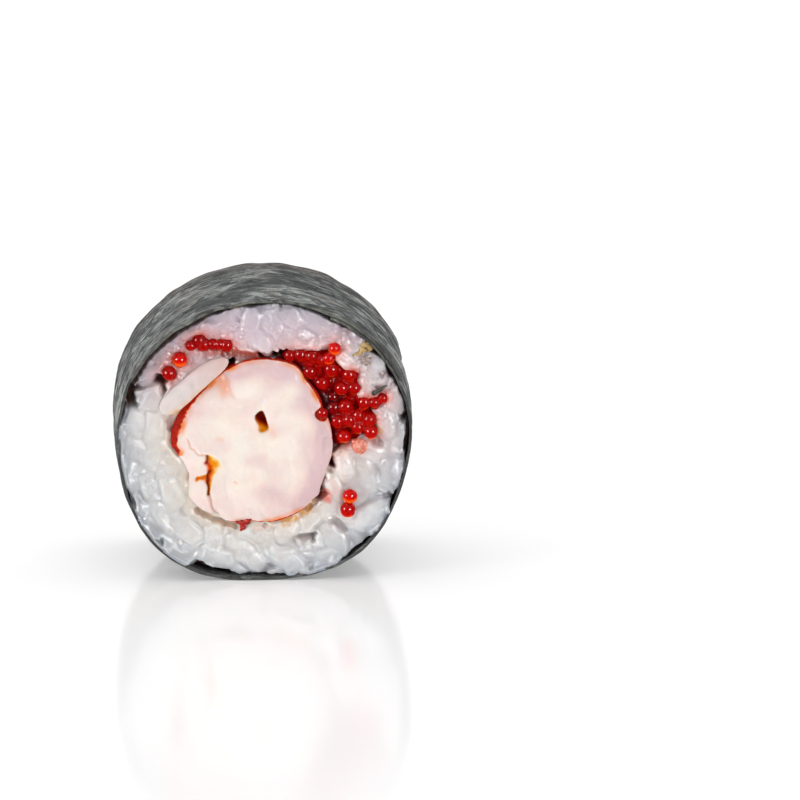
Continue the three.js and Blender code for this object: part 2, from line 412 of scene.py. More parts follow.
def nori_material():
    n = Nodes(bpy.data.materials.new("nori"))
    sheet = n.attribute("sheet", "Vector")
    sway = n.noise(n.scaled(sheet, (0.16, 0.3, 0.3)), 1.0, roughness=0.5, output="Color")
    swayed = {0: sway, 1: (0, 3.6, 0), 2: sheet}
    swayed = n.add("ShaderNodeVectorMath", swayed, operation="MULTIPLY_ADD").outputs[0]
    long_way, short_way = n.scaled(swayed, (0.3, 1, 1)), n.scaled(swayed, (0.42, 1, 1))
    fibres = n.noise(long_way, 2.2, detail=5, roughness=0.72, distortion=1.6)
    specks = n.noise(short_way, 0.95, detail=4, roughness=0.65, distortion=0.8)
    patches = n.noise(sheet, 4.0, detail=4, roughness=0.6)
    hairs = n.noise(long_way, 0.8, detail=4, roughness=0.7, distortion=0.8)
    cracks = n.noise(short_way, 1.3, detail=1.5, roughness=0.5, distortion=0.8)
    streaks = n.ramp(n.math("ADD", fibres, n.ramp(patches, 0.3, 0.7, -0.1, 0.1)), 0.36, 0.62)
    base = n.mix(streaks, colour(46, 49, 48), colour(120, 125, 122))
    base = n.tint(base, n.math("MULTIPLY", hairs, streaks), 0.38, 0.6, 0.6, (192, 196, 192))
    base = n.tint(base, specks, 0.51, 0.57, 0.85, (16, 16, 18))
    base = n.tint(base, cracks, 0.41, 0.38, 0.9, (5, 5, 6))
    base = n.tint(base, patches, 0.56, 0.7, 0.5, (84, 62, 48))
    along = n.add("ShaderNodeSeparateXYZ", {0: sheet}).outputs["Y"]
    browned = n.math("MULTIPLY", n.ramp(along, 4, 10), n.ramp(fibres, 0.4, 0.6, 0.2, 0.8))
    base = n.mix(browned, base, colour(66, 48, 38))
    # Painted light and shade: the cut edge olive where it faces up, near black lower down
    olive = n.mix(n.ramp(specks, 0.4, 0.6), colour(106, 108, 90), colour(30, 30, 26))
    rim = n.mix(n.attribute("painted_top_light"), colour(26, 25, 22), olive)
    base = n.mix(n.attribute("cut"), base, rim)
    normal = n.bump(fibres, 0.35)
    normal = n.bump(specks, -0.3, normal)
    normal = n.bump(n.ramp(cracks, 0.34, 0.42), 0.12, normal)
    rough = n.math("ADD", n.ramp(streaks, 0, 1, 0.8, 0.42), n.ramp(specks, 0.54, 0.68, 0, 0.2))
    rough = n.ramp(n.attribute("cut"), 0, 1, rough, 0.9)
    n.surface(base_color=base, roughness=rough, normal=normal, specular_ior_level=0.3)
    return n.owner


def rice_material():
    n = Nodes(bpy.data.materials.new("rice"))
    place = n.position()
    # painted bounce light: the rice warmer where the shrimp is near
    base = n.mix(n.attribute("painted_bounce_warmth"), colour(208, 212, 216), colour(222, 208, 192))
    cloud = n.noise(place, 1.1, detail=3)
    # Partly painted shading: grains whiter towards their middles, some whiter than others
    core = n.math("MULTIPLY", n.attribute("core"), n.ramp(cloud, 0.3, 0.7, 0.45, 1.0))
    base = n.mix(core, base, colour(240, 240, 239))
    # Painted light and shade: grey in recesses, white on ridges, lilac on top, bluish by the nori
    shades = {"painted_recess_shade": (176, 170, 174), "edge": (250, 250, 250), "lilac": (206, 192, 206)}
    shades |= {"rim": (164, 169, 178), "stain": (222, 122, 108)}
    base = n.layers(base, shades)
    mottled = n.math("MULTIPLY", n.attribute("amber"), n.ramp(n.noise(place, 0.55), 0.35, 0.6, 0.3))
    base = n.mix(mottled, base, colour(230, 170, 76))
    # Painted shade: dark brown in deep hollows, dark red in gaps by the roe and shrimp
    base = n.layers(base, {"deep": (122, 94, 86), "painted_red_shadow": (104, 26, 20)})
    fine = n.noise(place, 0.3)
    matt = n.ramp(n.attribute("matt"), 0, 1, 0, 0.35)
    n.surface(base_color=base, roughness=n.math("ADD", n.ramp(fine, 0.3, 0.7, 0.2, 0.42), matt))
    n.surface(normal=n.bump(fine, 0.05), ior=1.4, specular_ior_level=0.2)
    n.surface(subsurface_weight=1.0, subsurface_radius=(1.2, 1.0, 0.85), subsurface_scale=0.8 * MM)
    return n.owner


def shrimp_material():
    n = Nodes(bpy.data.materials.new("shrimp"))
    place = n.position()
    # Pinker flesh, with painted shade towards the bottom
    flesh = n.mix(n.attribute("blush_and_shade"), colour(250, 236, 227), colour(226, 199, 201))
    flesh = n.tint(flesh, n.noise(place, 2.2, detail=4), 0.4, 0.75, 0.4, (238, 214, 207))
    flesh = n.layers(flesh, {"orange": (238, 144, 68)})
    rough_edge = n.noise(place, 0.5, detail=4)
    skin = n.math("ADD", n.attribute("skin"), n.ramp(rough_edge, 0.3, 0.7, -0.22, 0.22))
    red = n.mix(n.ramp(n.noise(place, 0.2), 0.3, 0.75), colour(140, 8, 2), colour(204, 38, 4))
    base = n.tint(flesh, skin, 0.24, 0.55, 1, (238, 124, 62))
    base = n.mix(n.ramp(skin, 0.45, 0.85), base, red)
    fatty = n.math("MULTIPLY", n.attribute("amber"), n.ramp(rough_edge, 0.3, 0.6, 0.7, 1.1))
    base = n.tint(base, fatty, 0.0, 0.45, 1, (255, 212, 130))
    base = n.tint(base, fatty, 0.3, 0.9, 1, (252, 158, 8))
    base = n.layers(base, {"rust": (224, 80, 0), "pit": (140, 28, 3)})
    fine = n.noise(place, 0.35, detail=4)
    matt = n.ramp(n.attribute("skin"), 0.2, 0.6, 0, 0.6)
    n.surface(base_color=base, roughness=n.math("ADD", n.ramp(fine, 0.3, 0.7, 0.16, 0.34), matt))
    n.surface(normal=n.bump(fine, 0.05), ior=1.4, specular_ior_level=0.07)
    n.surface(subsurface_weight=0.85, subsurface_radius=(1.2, 0.85, 0.7), subsurface_scale=0.5 * MM)
    return n.owner


def roe_material(name, roughness, gloss):
    n = Nodes(bpy.data.materials.new(name))
    deep = n.mix(n.attribute("shade"), colour(58, 0, 4), colour(214, 8, 2))
    base = n.mix(n.ramp(n.attribute("glow"), 0.3, 0.9), deep, colour(252, 92, 14))
    n.surface(base_color=base, roughness=roughness, ior=1.4, specular_ior_level=gloss)
    n.surface(subsurface_weight=0.15, subsurface_radius=(0.6, 0.08, 0.04), subsurface_scale=MM)
    return n.owner


# ---- Nori ----


NORI_TURN = np.linspace(LAP_OUTER - 360, LAP_INNER, 640)  # from the sheet's one end to the other


def nori_layer(shares, inset):
    """Points of one side of the sheet, `inset` below its outer one, and the same laid out flat.

    The shares say how far along the roll each row of points is, from 0 to 1.
    """
    share = shares[:, None]
    degrees = np.broadcast_to(NORI_TURN, (len(shares), len(NORI_TURN)))
    y = (2 * share - 1) * HALF_LENGTH + 0 * degrees
    radius = wrap(degrees, y) - (NORI_THICKNESS + LAP_GAP) * lap_dent(degrees)
    unit = directions(degrees)
    place = np.stack([unit[..., 0] * MEAN_RADIUS, y, unit[..., 1] * MEAN_RADIUS], axis=-1)
    place = place.reshape(-1, 3)
    dents = Ripples(4, 1.1, stretch=(2, 0.6, 2))
    relief = 0.05 * Ripples(3, 3.4)(place) + 0.035 * dents(place)
    radius = radius + relief.reshape(degrees.shape) - inset
    x = radius * unit[..., 0]
    z = settle(radius * unit[..., 1], inset)
    flat = np.stack([x, 0 * x, z], axis=-1).reshape(-1, 3)
    front_edge, back_edge = [0.1 * Ripples(seed, 5.0)(flat).reshape(x.shape) for seed in (5, 6)]
    y = y + cut_wander(x, z) + (1 - share) * front_edge + share * back_edge
    sheet = np.stack([np.radians(degrees) * MEAN_RADIUS, y, radius], axis=-1)
    return np.stack([x, y, z], axis=-1).reshape(-1, 3), sheet.reshape(-1, 3)


def make_nori():
    """The sheet, wound once round the rice and a little over its own inner end."""
    columns, rows, inner_rows = len(NORI_TURN), 90, 16
    outer, outer_sheet = nori_layer(np.linspace(0, 1, rows), 0.0)
    inner_shares = 0.5 - 0.5 * np.cos(np.linspace(0, np.pi, inner_rows))
    inner, inner_sheet = nori_layer(inner_shares, NORI_THICKNESS)
    inside = len(outer)
    faces = grid_faces(rows, columns)
    faces += grid_faces(inner_rows, columns, inside, flip=True)
    last_outer, last_inner = inside - columns, inside + (inner_rows - 1) * columns
    for column in range(columns - 1):
        faces.append([column + 1, column, inside + column, inside + column + 1])
        far, near = last_outer + column, last_inner + column
        faces.append([far, far + 1, near + 1, near])
    for column, flip in ((0, False), (columns - 1, True)):
        rim = [row * columns + column for row in range(rows)]
        rim += [inside + row * columns + column for row in reversed(range(inner_rows))]
        faces.append(rim[::-1] if flip else rim)
    mesh = new_mesh("nori_sheet", np.concatenate([outer, inner]), faces)
    set_attribute(mesh, "sheet", np.concatenate([outer_sheet, inner_sheet]))
    cut = np.zeros((rows + inner_rows, columns))
    cut[[0, rows - 1, rows, -1]] = 0.8
    set_look(mesh, "cut", cut.ravel())
    # painted light: how far the cut edge faces up, to make it lighter at the top of the roll
    painted_top_light = np.clip(np.sin(np.radians(NORI_TURN)), 0, 1) ** 2
    set_look(mesh, "painted_top_light", np.tile(painted_top_light, rows + inner_rows))
    mesh.set_sharp_from_angle(angle=math.radians(40))
    add_piece("nori_sheet", mesh, nori_material(), ["nori"])


# ---- Cut faces ----


def face_points(side, flat, depth):
    """Points of a cut face, `depth` behind the knife's path."""
    y = side * (HALF_LENGTH - depth) + cut_wander(flat[:, 0], flat[:, 1])
    return np.stack([flat[:, 0], y, flat[:, 1]], axis=1)


def lift_to_plane(flat):
    """The same (x, z) points in the three coordinates that Ripples takes."""
    return np.stack([flat[:, 0], 0 * flat[:, 0], flat[:, 1]], axis=1)


def path_distance(points, path):
    """Distance of (x, z) points from an open path, and how far along it, 0 to 1, that is."""
    best = np.full(len(points), 1e9)
    share = np.zeros(len(points))
    for index, (a, b) in enumerate(zip(path, path[1:])):
        a, b = np.array(a), np.array(b)
        t = np.clip((points - a) @ (b - a) / ((b - a) @ (b - a)), 0, 1)
        distance = np.linalg.norm(points - a - t[:, None] * (b - a), axis=1)
        closer = distance < best
        best = np.where(closer, distance, best)
        share = np.where(closer, (index + t) / (len(path) - 1), share)
    return best, share


def from_line(points, ends):
    """Distance of (x, z) points from the line between two ends, given as x, z, x, z."""
    return path_distance(points, [ends[:2], ends[2:]])[0]


# ---- Rice ----

# The grains that show at the front cut: x, z, the way they point in degrees, length, width, and
# how far behind the cut they lie.
FRONT_GRAINS = [
    (-13.4, 9.3, 58, 6.0, 2.8, 0.8), (-10.7, 12.3, 42, 5.6, 2.8, 0.6),
    (-7.6, 14.0, 24, 5.6, 2.7, 0.5), (-4.6, 14.7, 70, 4.8, 2.8, 0.4),
    (-5.6, 13.4, 5, 4.6, 2.4, 0.6), (-1.6, 14.6, 88, 5.2, 2.9, 0.3),
    (-3.0, 12.9, -18, 4.8, 2.5, 0.4), (-0.4, 12.1, -38, 4.2, 2.7, 0.2),
    (-8.3, 10.3, 60, 3.6, 2.4, 0.9), (-13.4, 5.0, 70, 4.0, 2.9, 0.5),
    (-15.4, 2.0, 76, 5.2, 2.8, 0.3), (-13.2, 1.6, 82, 5.0, 2.9, 0.4),
    (-15.8, -1.3, 88, 4.6, 2.8, 0.4), (0.9, 14.6, -62, 5.2, 2.9, 0.3),
    (3.3, 15.0, -8, 5.2, 2.9, 0.3), (5.9, 14.6, -20, 5.4, 2.9, 0.3),
    (7.6, 13.6, -50, 4.6, 2.7, 0.3), (2.8, 12.4, 2, 5.2, 2.7, 0.5),
    (5.8, 12.2, -6, 5.2, 2.6, 0.5), (8.4, 12.4, -30, 4.0, 2.4, 0.6),
    (10.1, 13.3, -36, 4.4, 2.6, 1.5), (10.2, 9.6, -20, 4.0, 2.6, 0.4),
    (10.3, 11.8, -42, 4.2, 2.7, 0.5), (12.9, 7.7, 22, 4.2, 2.8, 0.3),
    (12.5, 6.4, 82, 3.6, 2.3, 0.4), (13.8, 9.9, -50, 3.3, 2.7, 0.3),
    (15.9, 5.4, 80, 4.8, 2.9, 0.4), (14.6, 2.1, -62, 5.0, 2.9, 0.4),
    (15.9, -0.1, 84, 4.6, 2.7, 0.6), (9.7, -3.1, 86, 4.6, 2.9, 0.2),
    (8.2, -5.5, -60, 4.0, 2.3, 0.3), (12.1, -4.2, -72, 5.2, 2.9, 0.4),
    (15.1, -4.0, 80, 5.0, 2.9, 0.7), (12.6, -1.3, -30, 4.4, 2.8, 0.5),
    (12.5, -9.3, 24, 6.2, 3.4, 0.0), (11.2, -6.7, 60, 3.8, 2.8, 0.8),
    (7.6, -8.6, 72, 3.6, 2.4, 0.5), (5.5, -9.7, 34, 3.8, 2.6, 0.4),
    (2.9, -10.8, 26, 3.8, 2.6, 0.5), (8.3, -12.5, -58, 5.6, 3.1, 0.3),
    (10.4, -12.0, -60, 4.4, 2.6, 1.0), (2.9, -14.7, -36, 6.4, 3.1, 0.2),
    (7.1, -14.4, 20, 4.8, 2.7, 0.5), (3.4, -12.9, 12, 5.0, 2.3, 0.5),
    (-2.5, -13.3, -42, 6.6, 3.0, 0.2), (0.3, -12.2, -70, 4.4, 2.6, 0.7),
    (-6.1, -11.7, 84, 3.8, 3.0, 0.4), (-5.8, -14.1, -14, 4.8, 2.8, 0.4),
    (-8.8, -13.2, 60, 4.2, 2.8, 0.5), (-11.2, -12.3, -40, 4.6, 2.6, 0.6),
    (-14.0, -9.3, -58, 5.2, 2.8, 0.5), (-11.6, -9.4, -52, 5.4, 2.8, 0.3),
    (-9.4, -10.6, -46, 4.8, 2.8, 0.3), (-15.5, -4.7, 76, 4.6, 3.0, 0.3),
    (-13.3, -4.9, 84, 5.0, 2.9, 0.4), (-13.2, -1.5, 70, 4.4, 2.7, 0.4),
    (-11.6, -3.2, 64, 5.0, 2.9, 0.4), (-11.0, -6.4, -70, 5.0, 2.9, 0.3),
    (-8.2, -12.0, 20, 3.6, 2.4, 0.5), (-1.6, -11.3, 10, 4.0, 2.4, 0.6),
]

# Places at the front cut where the rice has left a hollow: two ends x, z, x, z of its middle
# line, half its width and how deep it goes.
FRONT_HOLLOWS = [
    (-14.6, 6.8, -11.9, 7.7, 0.5, 3.0), (-11.8, 7.6, -12.0, 6.1, 0.42, 2.6),
    (-16.0, 6.4, -15.7, 4.4, 0.65, 4.0), (-4.5, 9.3, -3.7, 9.6, 0.45, 4.0),
    (-3.2, 16.0, -3.0, 14.8, 0.22, 2.0), (0.0, 10.4, 2.8, 10.5, 0.45, 5.0),
    (-4.2, 10.6, -1.0, 10.1, 0.8, 1.5), (1.9, 17.0, 2.1, 16.3, 0.3, 2.5),
    (12.9, 12.2, 13.6, 11.0, 0.4, 3.5), (12.1, 9.7, 12.5, 9.7, 0.15, 1.6),
    (14.1, 8.0, 15.2, 8.3, 0.55, 2.2), (16.6, 3.0, 16.8, 0.6, 0.6, 3.0),
    (13.3, 0.2, 13.8, -0.4, 0.4, 1.5), (8.0, -2.4, 7.9, -3.3, 0.28, 4.0),
    (6.9, -5.3, 6.1, -6.8, 0.35, 5.0), (7.2, -6.4, 6.6, -7.0, 0.5, 2.0),
    (6.4, -7.2, 5.0, -8.3, 0.35, 1.6), (-7.9, -8.5, -6.2, -9.5, 0.45, 1.5),
    (-6.2, -9.5, -3.4, -10.3, 0.5, 1.5), (0.0, -10.3, 0.5, -11.1, 0.28, 1.3),
    (3.9, -12.1, 5.5, -11.8, 0.75, 2.2), (8.1, -9.8, 9.6, -10.7, 0.6, 1.5),
    (13.8, -6.4, 15.4, -7.0, 0.4, 1.7), (11.6, -13.6, 14.0, -11.4, 0.7, 1.6),
    (5.2, -16.2, 5.7, -15.4, 0.25, 2.5), (-1.5, -15.8, 1.0, -15.4, 0.6, 1.4),
    (-8.2, -15.2, -4.0, -16.6, 0.6, 4.0), (-7.0, -12.2, -6.4, -13.0, 0.35, 2.1),
    (-13.6, -6.55, -13.6, -6.75, 0.14, 1.2), (-16.6, -5.9, -15.6, -7.6, 0.3, 2.5),
    (-13.2, -11.9, -12.4, -12.2, 0.3, 2.0), (-11.0, 3.0, -11.2, 1.4, 0.4, 1.1),
]

# Places at the front cut that roe or fat has coloured, and where shade is painted (the deep, red
# shadow and lilac kinds): for each kind the two ends of its middle line, half its width and how
# strong it is.
FRONT_STAINS = {
    "stain": [
        (-4.6, 11.0, -0.9, 10.2, 0.7, 1.0), (-6.6, 10.8, -4.6, 11.0, 0.5, 0.7),
        (-11.0, 3.0, -11.0, 1.6, 0.5, 0.3), (7.2, -6.4, 7.4, -6.9, 0.6, 0.9),
        (8.0, -4.6, 8.4, -6.0, 0.4, 0.25), (9.6, -8.6, 10.0, -8.8, 0.5, 0.25),
        (-1.2, -10.6, 0.8, -10.4, 0.3, 0.15), (4.6, 12.2, 8.0, 11.8, 0.6, 0.25),
        (10.0, -0.6, 12.6, -0.6, 0.7, 0.3),
    ],
    "amber": [
        (-9.5, 4.7, -10.5, 3.3, 0.3, 0.9), (13.4, 1.6, 13.7, 1.1, 0.4, 0.7),
        (6.2, -6.9, 4.9, -8.3, 0.25, 1.0), (4.9, -8.3, 2.4, -9.8, 0.6, 0.9),
        (-7.9, -8.5, -6.2, -9.5, 0.45, 0.3), (-6.2, -9.5, -3.4, -10.3, 0.45, 0.3),
    ],
    "deep": [
        (-11.0, 3.0, -11.1, 1.6, 0.4, 0.4), (-3.6, 10.2, -1.2, 9.9, 0.6, 0.35),
        (9.6, 13.9, 10.8, 12.8, 0.7, 0.3), (3.9, -12.1, 5.5, -11.8, 0.6, 0.4),
        (8.1, -9.8, 9.6, -10.7, 0.5, 0.25), (11.8, -13.4, 14.2, -11.2, 0.8, 0.5),
    ],
    # painted shadow: dark red in gaps beside the roe and the shrimp
    "painted_red_shadow": [
        (8.0, -2.0, 7.9, -3.5, 0.35, 0.9), (7.2, -4.6, 6.4, -6.9, 0.4, 0.8),
        (-4.5, 9.3, -3.7, 9.6, 0.5, 0.9), (-0.1, 10.4, 2.8, 10.5, 0.4, 0.8),
        (-6.4, 10.4, -1.2, 10.3, 0.7, 0.3), (14.1, 8.0, 15.0, 8.2, 0.4, 0.5),
    ],
    "lilac": [
        (9.2, 14.0, 10.9, 12.9, 0.9, 1.0),
    ],
}

# How wide a gap the rice leaves inside the nori at the front cut: degrees round the roll, and
# millimetres, less than nothing where the rice laps over the nori's edge.
RIM_GAPS = [
    (0, 0.6), (12, 0.5), (17, 0.15), (22, 0.25), (29, 0.8), (34, 0.12), (40, 0.8), (46, 0.15),
    (54, 0.25), (75, 0.3), (86, 0.3), (91, 0.6), (97, 0.65), (102, 0.4), (107, 0.55),
    (120, 0.75), (140, 0.85), (150, 0.8), (160, 1.0), (168, 0.4), (174, -0.15), (196, -0.18),
    (201, 0.3), (206, -0.15), (237, -0.15), (242, 0.5), (247, 0.15), (252, 0.55), (262, 0.6),
    (272, 0.5), (278, 0.35), (281, -0.2), (284, 0.2), (288, -0.2), (300, -0.15), (306, 0.5),
    (315, 0.5), (321, -0.1), (330, -0.15), (334, 0.6), (338, 0.5), (342, -0.1), (350, 0.1),
    (354, 0.4),
]

GRAIN_THICKNESS = 0.8  # as a share of its width
BACK_SHOWN, UNDERLYING = 62, 40  # grains on top at the back cut, and under those at either cut


class Grains:
    """Grains of rice lying on a cut face."""

    KEYS = ("x", "z", "degrees", "length", "width", "depth")

    def __init__(self, rows, rng):
        for key, values in zip(self.KEYS, np.array(rows, float).T):
            setattr(self, key, values)
        count = len(self.x)
        self.bend = rng.uniform(-0.2, 0.2, count)
        self.taper = rng.uniform(-0.15, 0.15, count)
        self.blunt = rng.uniform(2.1, 3.2, count)
        self.shaved = rng.uniform(0.05, 0.4, count)
        self.slope = rng.normal(0, 0.2, (count, 2))
        self.white = rng.uniform(0.1, 1, count)

    def spine(self):
        """Five points along each grain, for judging how close two grains lie."""
        steps = np.linspace(-0.8, 0.8, 5)[None, :, None]
        along = directions(self.degrees)[:, None] * self.length[:, None, None] / 2
        return np.stack([self.x, self.z], axis=1)[:, None] + steps * along

    def shape_of(self, index, flat):
        """How deep one grain's surface lies at each point, falling away steeply outside it, and
        how far in from its edge the point is."""
        along = directions(self.degrees[index])
        offset = flat - (self.x[index], self.z[index])
        u = offset @ along / (self.length[index] / 2)
        v = (offset @ (-along[1], along[0])) / (self.width[index] / 2)
        v = (v + self.bend[index] * (u * u - 0.4)) * (1 + self.taper[index] * u)
        reach = np.abs(u) ** self.blunt[index] + np.abs(v) ** 2.4
        thick = GRAIN_THICKNESS * self.width[index] / 2
        tilt = self.slope[index, 0] * np.clip(u, -1, 1) + self.slope[index, 1] * np.clip(v, -1, 1)
        top = self.depth[index] + tilt
        round_top = top + thick * (1 - np.clip(1 - reach, 0, 1) ** 0.44)
        beyond = 4 * np.clip(reach - 1, 0, 4)
        depth = np.maximum(round_top + beyond, top + self.shaved[index] * thick * 0.5)
        return depth, np.clip(1 - reach, 0, 1)


def soft_minimum(depths, softness):
    """The least of many depths at each point, blended where they are close, and their shares."""
    share = np.exp(-(depths - depths.min(axis=0)) / softness)
    share /= share.sum(axis=0)
    return (share * depths).sum(axis=0), share


def from_nori(side, flat):
    """How far (x, z) points of a cut are inside the nori."""
    return wrap.inside(bearing(flat), side * HALF_LENGTH) - np.linalg.norm(flat, axis=1)


def scattered(rng, side, count, depth):
    """Grains spread over a cut, clear of the fillings and as far as may be from each other."""
    rows, spines = [], np.empty((0, 2))
    sections = list(FILLINGS.values())
    tries, outermost, far_enough = 50, 16.2, 2.3
    for _ in range(count):
        degrees, turned = rng.uniform(0, 360, tries), rng.uniform(0, 180, tries)
        centre = directions(degrees) * np.sqrt(rng.uniform(0.25, 1, tries))[:, None] * outermost
        length, width = rng.uniform(4.4, 6.0, tries), rng.uniform(2.5, 3.0, tries)
        behind = depth + rng.uniform(0, 0.4, tries)
        options = np.stack([*centre.T, turned, length, width, behind], axis=1)
        spine = Grains(options, rng).spine()
        flat = spine.reshape(-1, 2)
        room = np.min([signed_distance(flat, section) for section in sections], axis=0)
        room = np.minimum(room, from_nori(side, flat))
        margin = room.reshape(tries, -1).min(axis=1) - 0.4 * width
        gap = np.full(tries, far_enough)
        if rows:
            between = np.linalg.norm(flat[:, None] - spines, axis=-1)
            gap = between.reshape(tries, -1).min(axis=1)
        best = (np.minimum(gap, far_enough) + 5 * np.minimum(margin, 0)).argmax()
        rows.append(options[best])
        spines = np.vstack([spines, spine[best]])
    return rows


RICE_COLUMNS, RICE_ROWS, RICE_SIDE_ROWS = 900, 84, 8
NORI_CLEARANCE = 0.04  # between the rice and the inside of the nori
SHRIMP_LAP = 0.9  # how far the rice's cut face runs on under the shrimp's edge


def blur_face(values, reach):
    """Averages each point of the rice's cut face with those up to `reach` places away."""
    grid = blur_round(values.reshape(RICE_ROWS, RICE_COLUMNS), reach)
    padded = np.pad(grid, ((reach, reach), (0, 0)), mode="edge")
    rows = [padded[shift : shift + RICE_ROWS] for shift in range(2 * reach + 1)]
    return np.mean(rows, axis=0).ravel()


def rice_ring(side, gaps):
    """The (x, z) points of a cut face's rice, row by row from the shrimp out to the nori."""
    degrees = np.arange(RICE_COLUMNS) * 360 / RICE_COLUMNS
    unit = directions(degrees)
    inner = shrimp_edge(degrees) - SHRIMP_LAP
    start = SHRIMP_CENTRE + unit * inner[:, None]
    lap = np.maximum(-around(gaps, degrees), 0)
    end = unit * (wrap.inside(degrees, side * HALF_LENGTH) - NORI_CLEARANCE + lap)[:, None]
    end[:, 1] = settle(end[:, 1], NORI_THICKNESS + NORI_CLEARANCE - lap)
    share = np.linspace(0, 1, RICE_ROWS)[:, None, None]
    return (start + (end - start) * share).reshape(-1, 2)


def from_shrimp(flat):
    """How far (x, z) points are outside the shrimp's edge, seen from its centre."""
    offset = flat - SHRIMP_CENTRE
    return np.linalg.norm(offset, axis=1) - shrimp_edge(bearing(offset))


def near_eggs(flat, eggs):
    """How far (x, z) points are outside the nearest of these eggs."""
    x, z, size = np.array(eggs).T[:3]
    away = np.linalg.norm(flat[:, None] - np.stack([x, z], axis=1), axis=2)
    return (away - size / 2).min(axis=1)


def rice_face(side, flat, grains, shown, hollows, stains, gap, seed):
    """Depth of the rice behind a cut, and the look of each of its points.

    The hollows go round the first `shown` grains, which lie on top. `gap` is how far the rice
    keeps from the nori.
    """
    near_right, near_left = [signed_distance(flat, FILLINGS[node]) for node in ROE_NODES]
    near_roe = near_red = np.minimum(near_right, near_left)
    if side == FRONT:
        near_roe = np.minimum(near_right, near_eggs(flat, LEFT_EGGS) + 0.25)
        near_red = near_eggs(flat, RIGHT_EGGS + LEFT_EGGS)
    near_shrimp = from_shrimp(flat)
    wall = from_nori(side, flat)
    place = lift_to_plane(flat)

    def ripple(number, wavelength):
        return Ripples(seed + number, wavelength)(place)

    ragged = 0.16 * ripple(2, 1.0)
    fused = smoothstep(-0.6, 0.8, ripple(1, 4.0) - 0.03 * flat.sum(axis=1))
    shaded = spot(flat, (-11.5, 10.5), 5.0)
    filler = 0.85 - 0.15 * fused + 0.12 * ripple(0, 1.6)
    filler -= 0.6 * smoothstep(0.3, 0.05, gap) * smoothstep(1.6, 0.3, wall)
    filler += 1.6 * smoothstep(0.4, -0.6, near_roe)
    bent = flat + 0.18 * np.stack([ripple(5, 1.7), ripple(6, 1.7)], axis=1)
    shapes = [grains.shape_of(index, bent) for index in range(len(grains.x))]
    depths = np.array([depth for depth, _ in shapes] + [filler])
    middles = np.array([middle for _, middle in shapes])
    for *ends, half, deep in hollows:
        floor = deep * smoothstep(half * 1.4, half * 0.6, from_line(flat, ends) + ragged)
        depths[shown:] = np.maximum(depths[shown:], floor)
    depth, share = soft_minimum(depths, 0.08 + 0.2 * fused**2)
    depth = np.minimum(depth, blur_face(depth, 3) + 0.015)
    level = np.clip(depth, 0, 1.0)
    skin = around(SKIN_BAND, bearing(flat - SHRIMP_CENTRE))
    depth += 0.2 * shaded + (0.1 + 0.35 * skin) * smoothstep(0.6, 0, near_shrimp)
    rim = smoothstep(0.9 * gap, 0.5 * gap - 0.05, wall + 0.5 * ragged) * (gap > 0.02)
    depth = np.maximum(depth, 2.6 * rim)
    lip = 0.25 + 0.2 * ripple(9, 1.8)
    depth -= (depth + lip) * smoothstep(0.5, 0.1, wall) * smoothstep(0, 0.12, -gap)
    depth = np.maximum(depth, 2.2 * smoothstep(0.0, -0.3, near_shrimp))
    depth = np.maximum(depth, 2.4 * smoothstep(1.2, 0.8, near_roe + near_shrimp))
    sticky = np.exp(-np.maximum(near_roe, 0) / 1.5)
    relief = (0.02 + 0.02 * sticky) * ripple(3, 0.9)
    relief += (0.008 + 0.042 * sticky) * ripple(7, 0.38)
    proud = blur_face(level, 4) - level
    sunk = level - blur_face(level, 9)
    reddened = np.maximum(near_red, 0)
    looks = {
        # core: painted shading, lighter towards each grain's middle, times each grain's whiteness
        "core": (share[:-1] * grains.white[:, None] * np.sqrt(middles)).sum(axis=0),
        # rim: painted shade, darker and bluer near the nori
        "rim": 0.8 * np.exp(-np.maximum(wall, 0) / 1.3),
        "painted_bounce_warmth": np.exp(-np.maximum(near_shrimp, 0) / 3.2),
        # edge: a painted highlight, white where the surface stands proud of the rice round it
        "edge": (0.7 - 0.4 * fused) * smoothstep(0.03, 0.16, proud),
        # painted shade: greyer where the surface lies lower than the rice round it
        "painted_recess_shade": (0.8 - 0.45 * fused) * smoothstep(0.04, 0.3, sunk),
        "stain": (0.5 + 0.25 * ripple(4, 1.8)) * np.exp(-reddened / 0.45),
        "amber": np.zeros(len(flat)),
        "painted_red_shadow": np.zeros(len(flat)),
        # lilac: painted shade, a lilac tint towards the top
        "lilac": 0.7 * smoothstep(6.0, 14.0, flat[:, 1] - 0.2 * flat[:, 0]),
        # deep: painted shade, darker the deeper the rice lies, and in the upper left
        "deep": smoothstep(0.85, 3.0, depth) + 0.12 * shaded,
    }
    looks["stain"] += 0.28 * np.exp(-reddened / 2.5)
    for kind, rows in stains.items():
        for *ends, half, strength in rows:
            mark = smoothstep(1.6 * half, 0.4 * half, from_line(flat, ends) + ragged)
            looks[kind] = np.maximum(looks[kind], strength * mark)
    return depth + relief, looks


def rice_body(side, face):
    """Points and faces of the rice from a cut to the middle of the roll, round the shrimp's
    passage. RICE_SIDE_ROWS - 1 rows of points come before those of the cut face."""
    steps = np.linspace(0, 1, RICE_SIDE_ROWS + 1)[1:, None, None]
    middle = face[-1] * (1, 0, 1)
    scale = wrap.inside(bearing(middle[:, [0, 2]]), 0)
    middle *= (scale / np.linalg.norm(middle, axis=1))[:, None] * 0.995
    middle[:, 2] = settle(middle[:, 2], NORI_THICKNESS + NORI_CLEARANCE)
    outer = face[-1] * (1 - steps) + middle * steps
    inner = face[0] * (1, 0, 1) * (1 - steps) + face[0] * steps
    rings = np.concatenate([inner[:-1], face, outer])
    column = np.arange(RICE_COLUMNS)
    after = (column + 1) % RICE_COLUMNS
    faces = []
    for row in range(len(rings)):
        near, far = row * RICE_COLUMNS, (row + 1) % len(rings) * RICE_COLUMNS
        quads = np.stack([near + column, far + column, far + after, near + after], axis=1)
        faces += (quads if side == FRONT else quads[:, ::-1]).tolist()
    return rings.reshape(-1, 3), faces


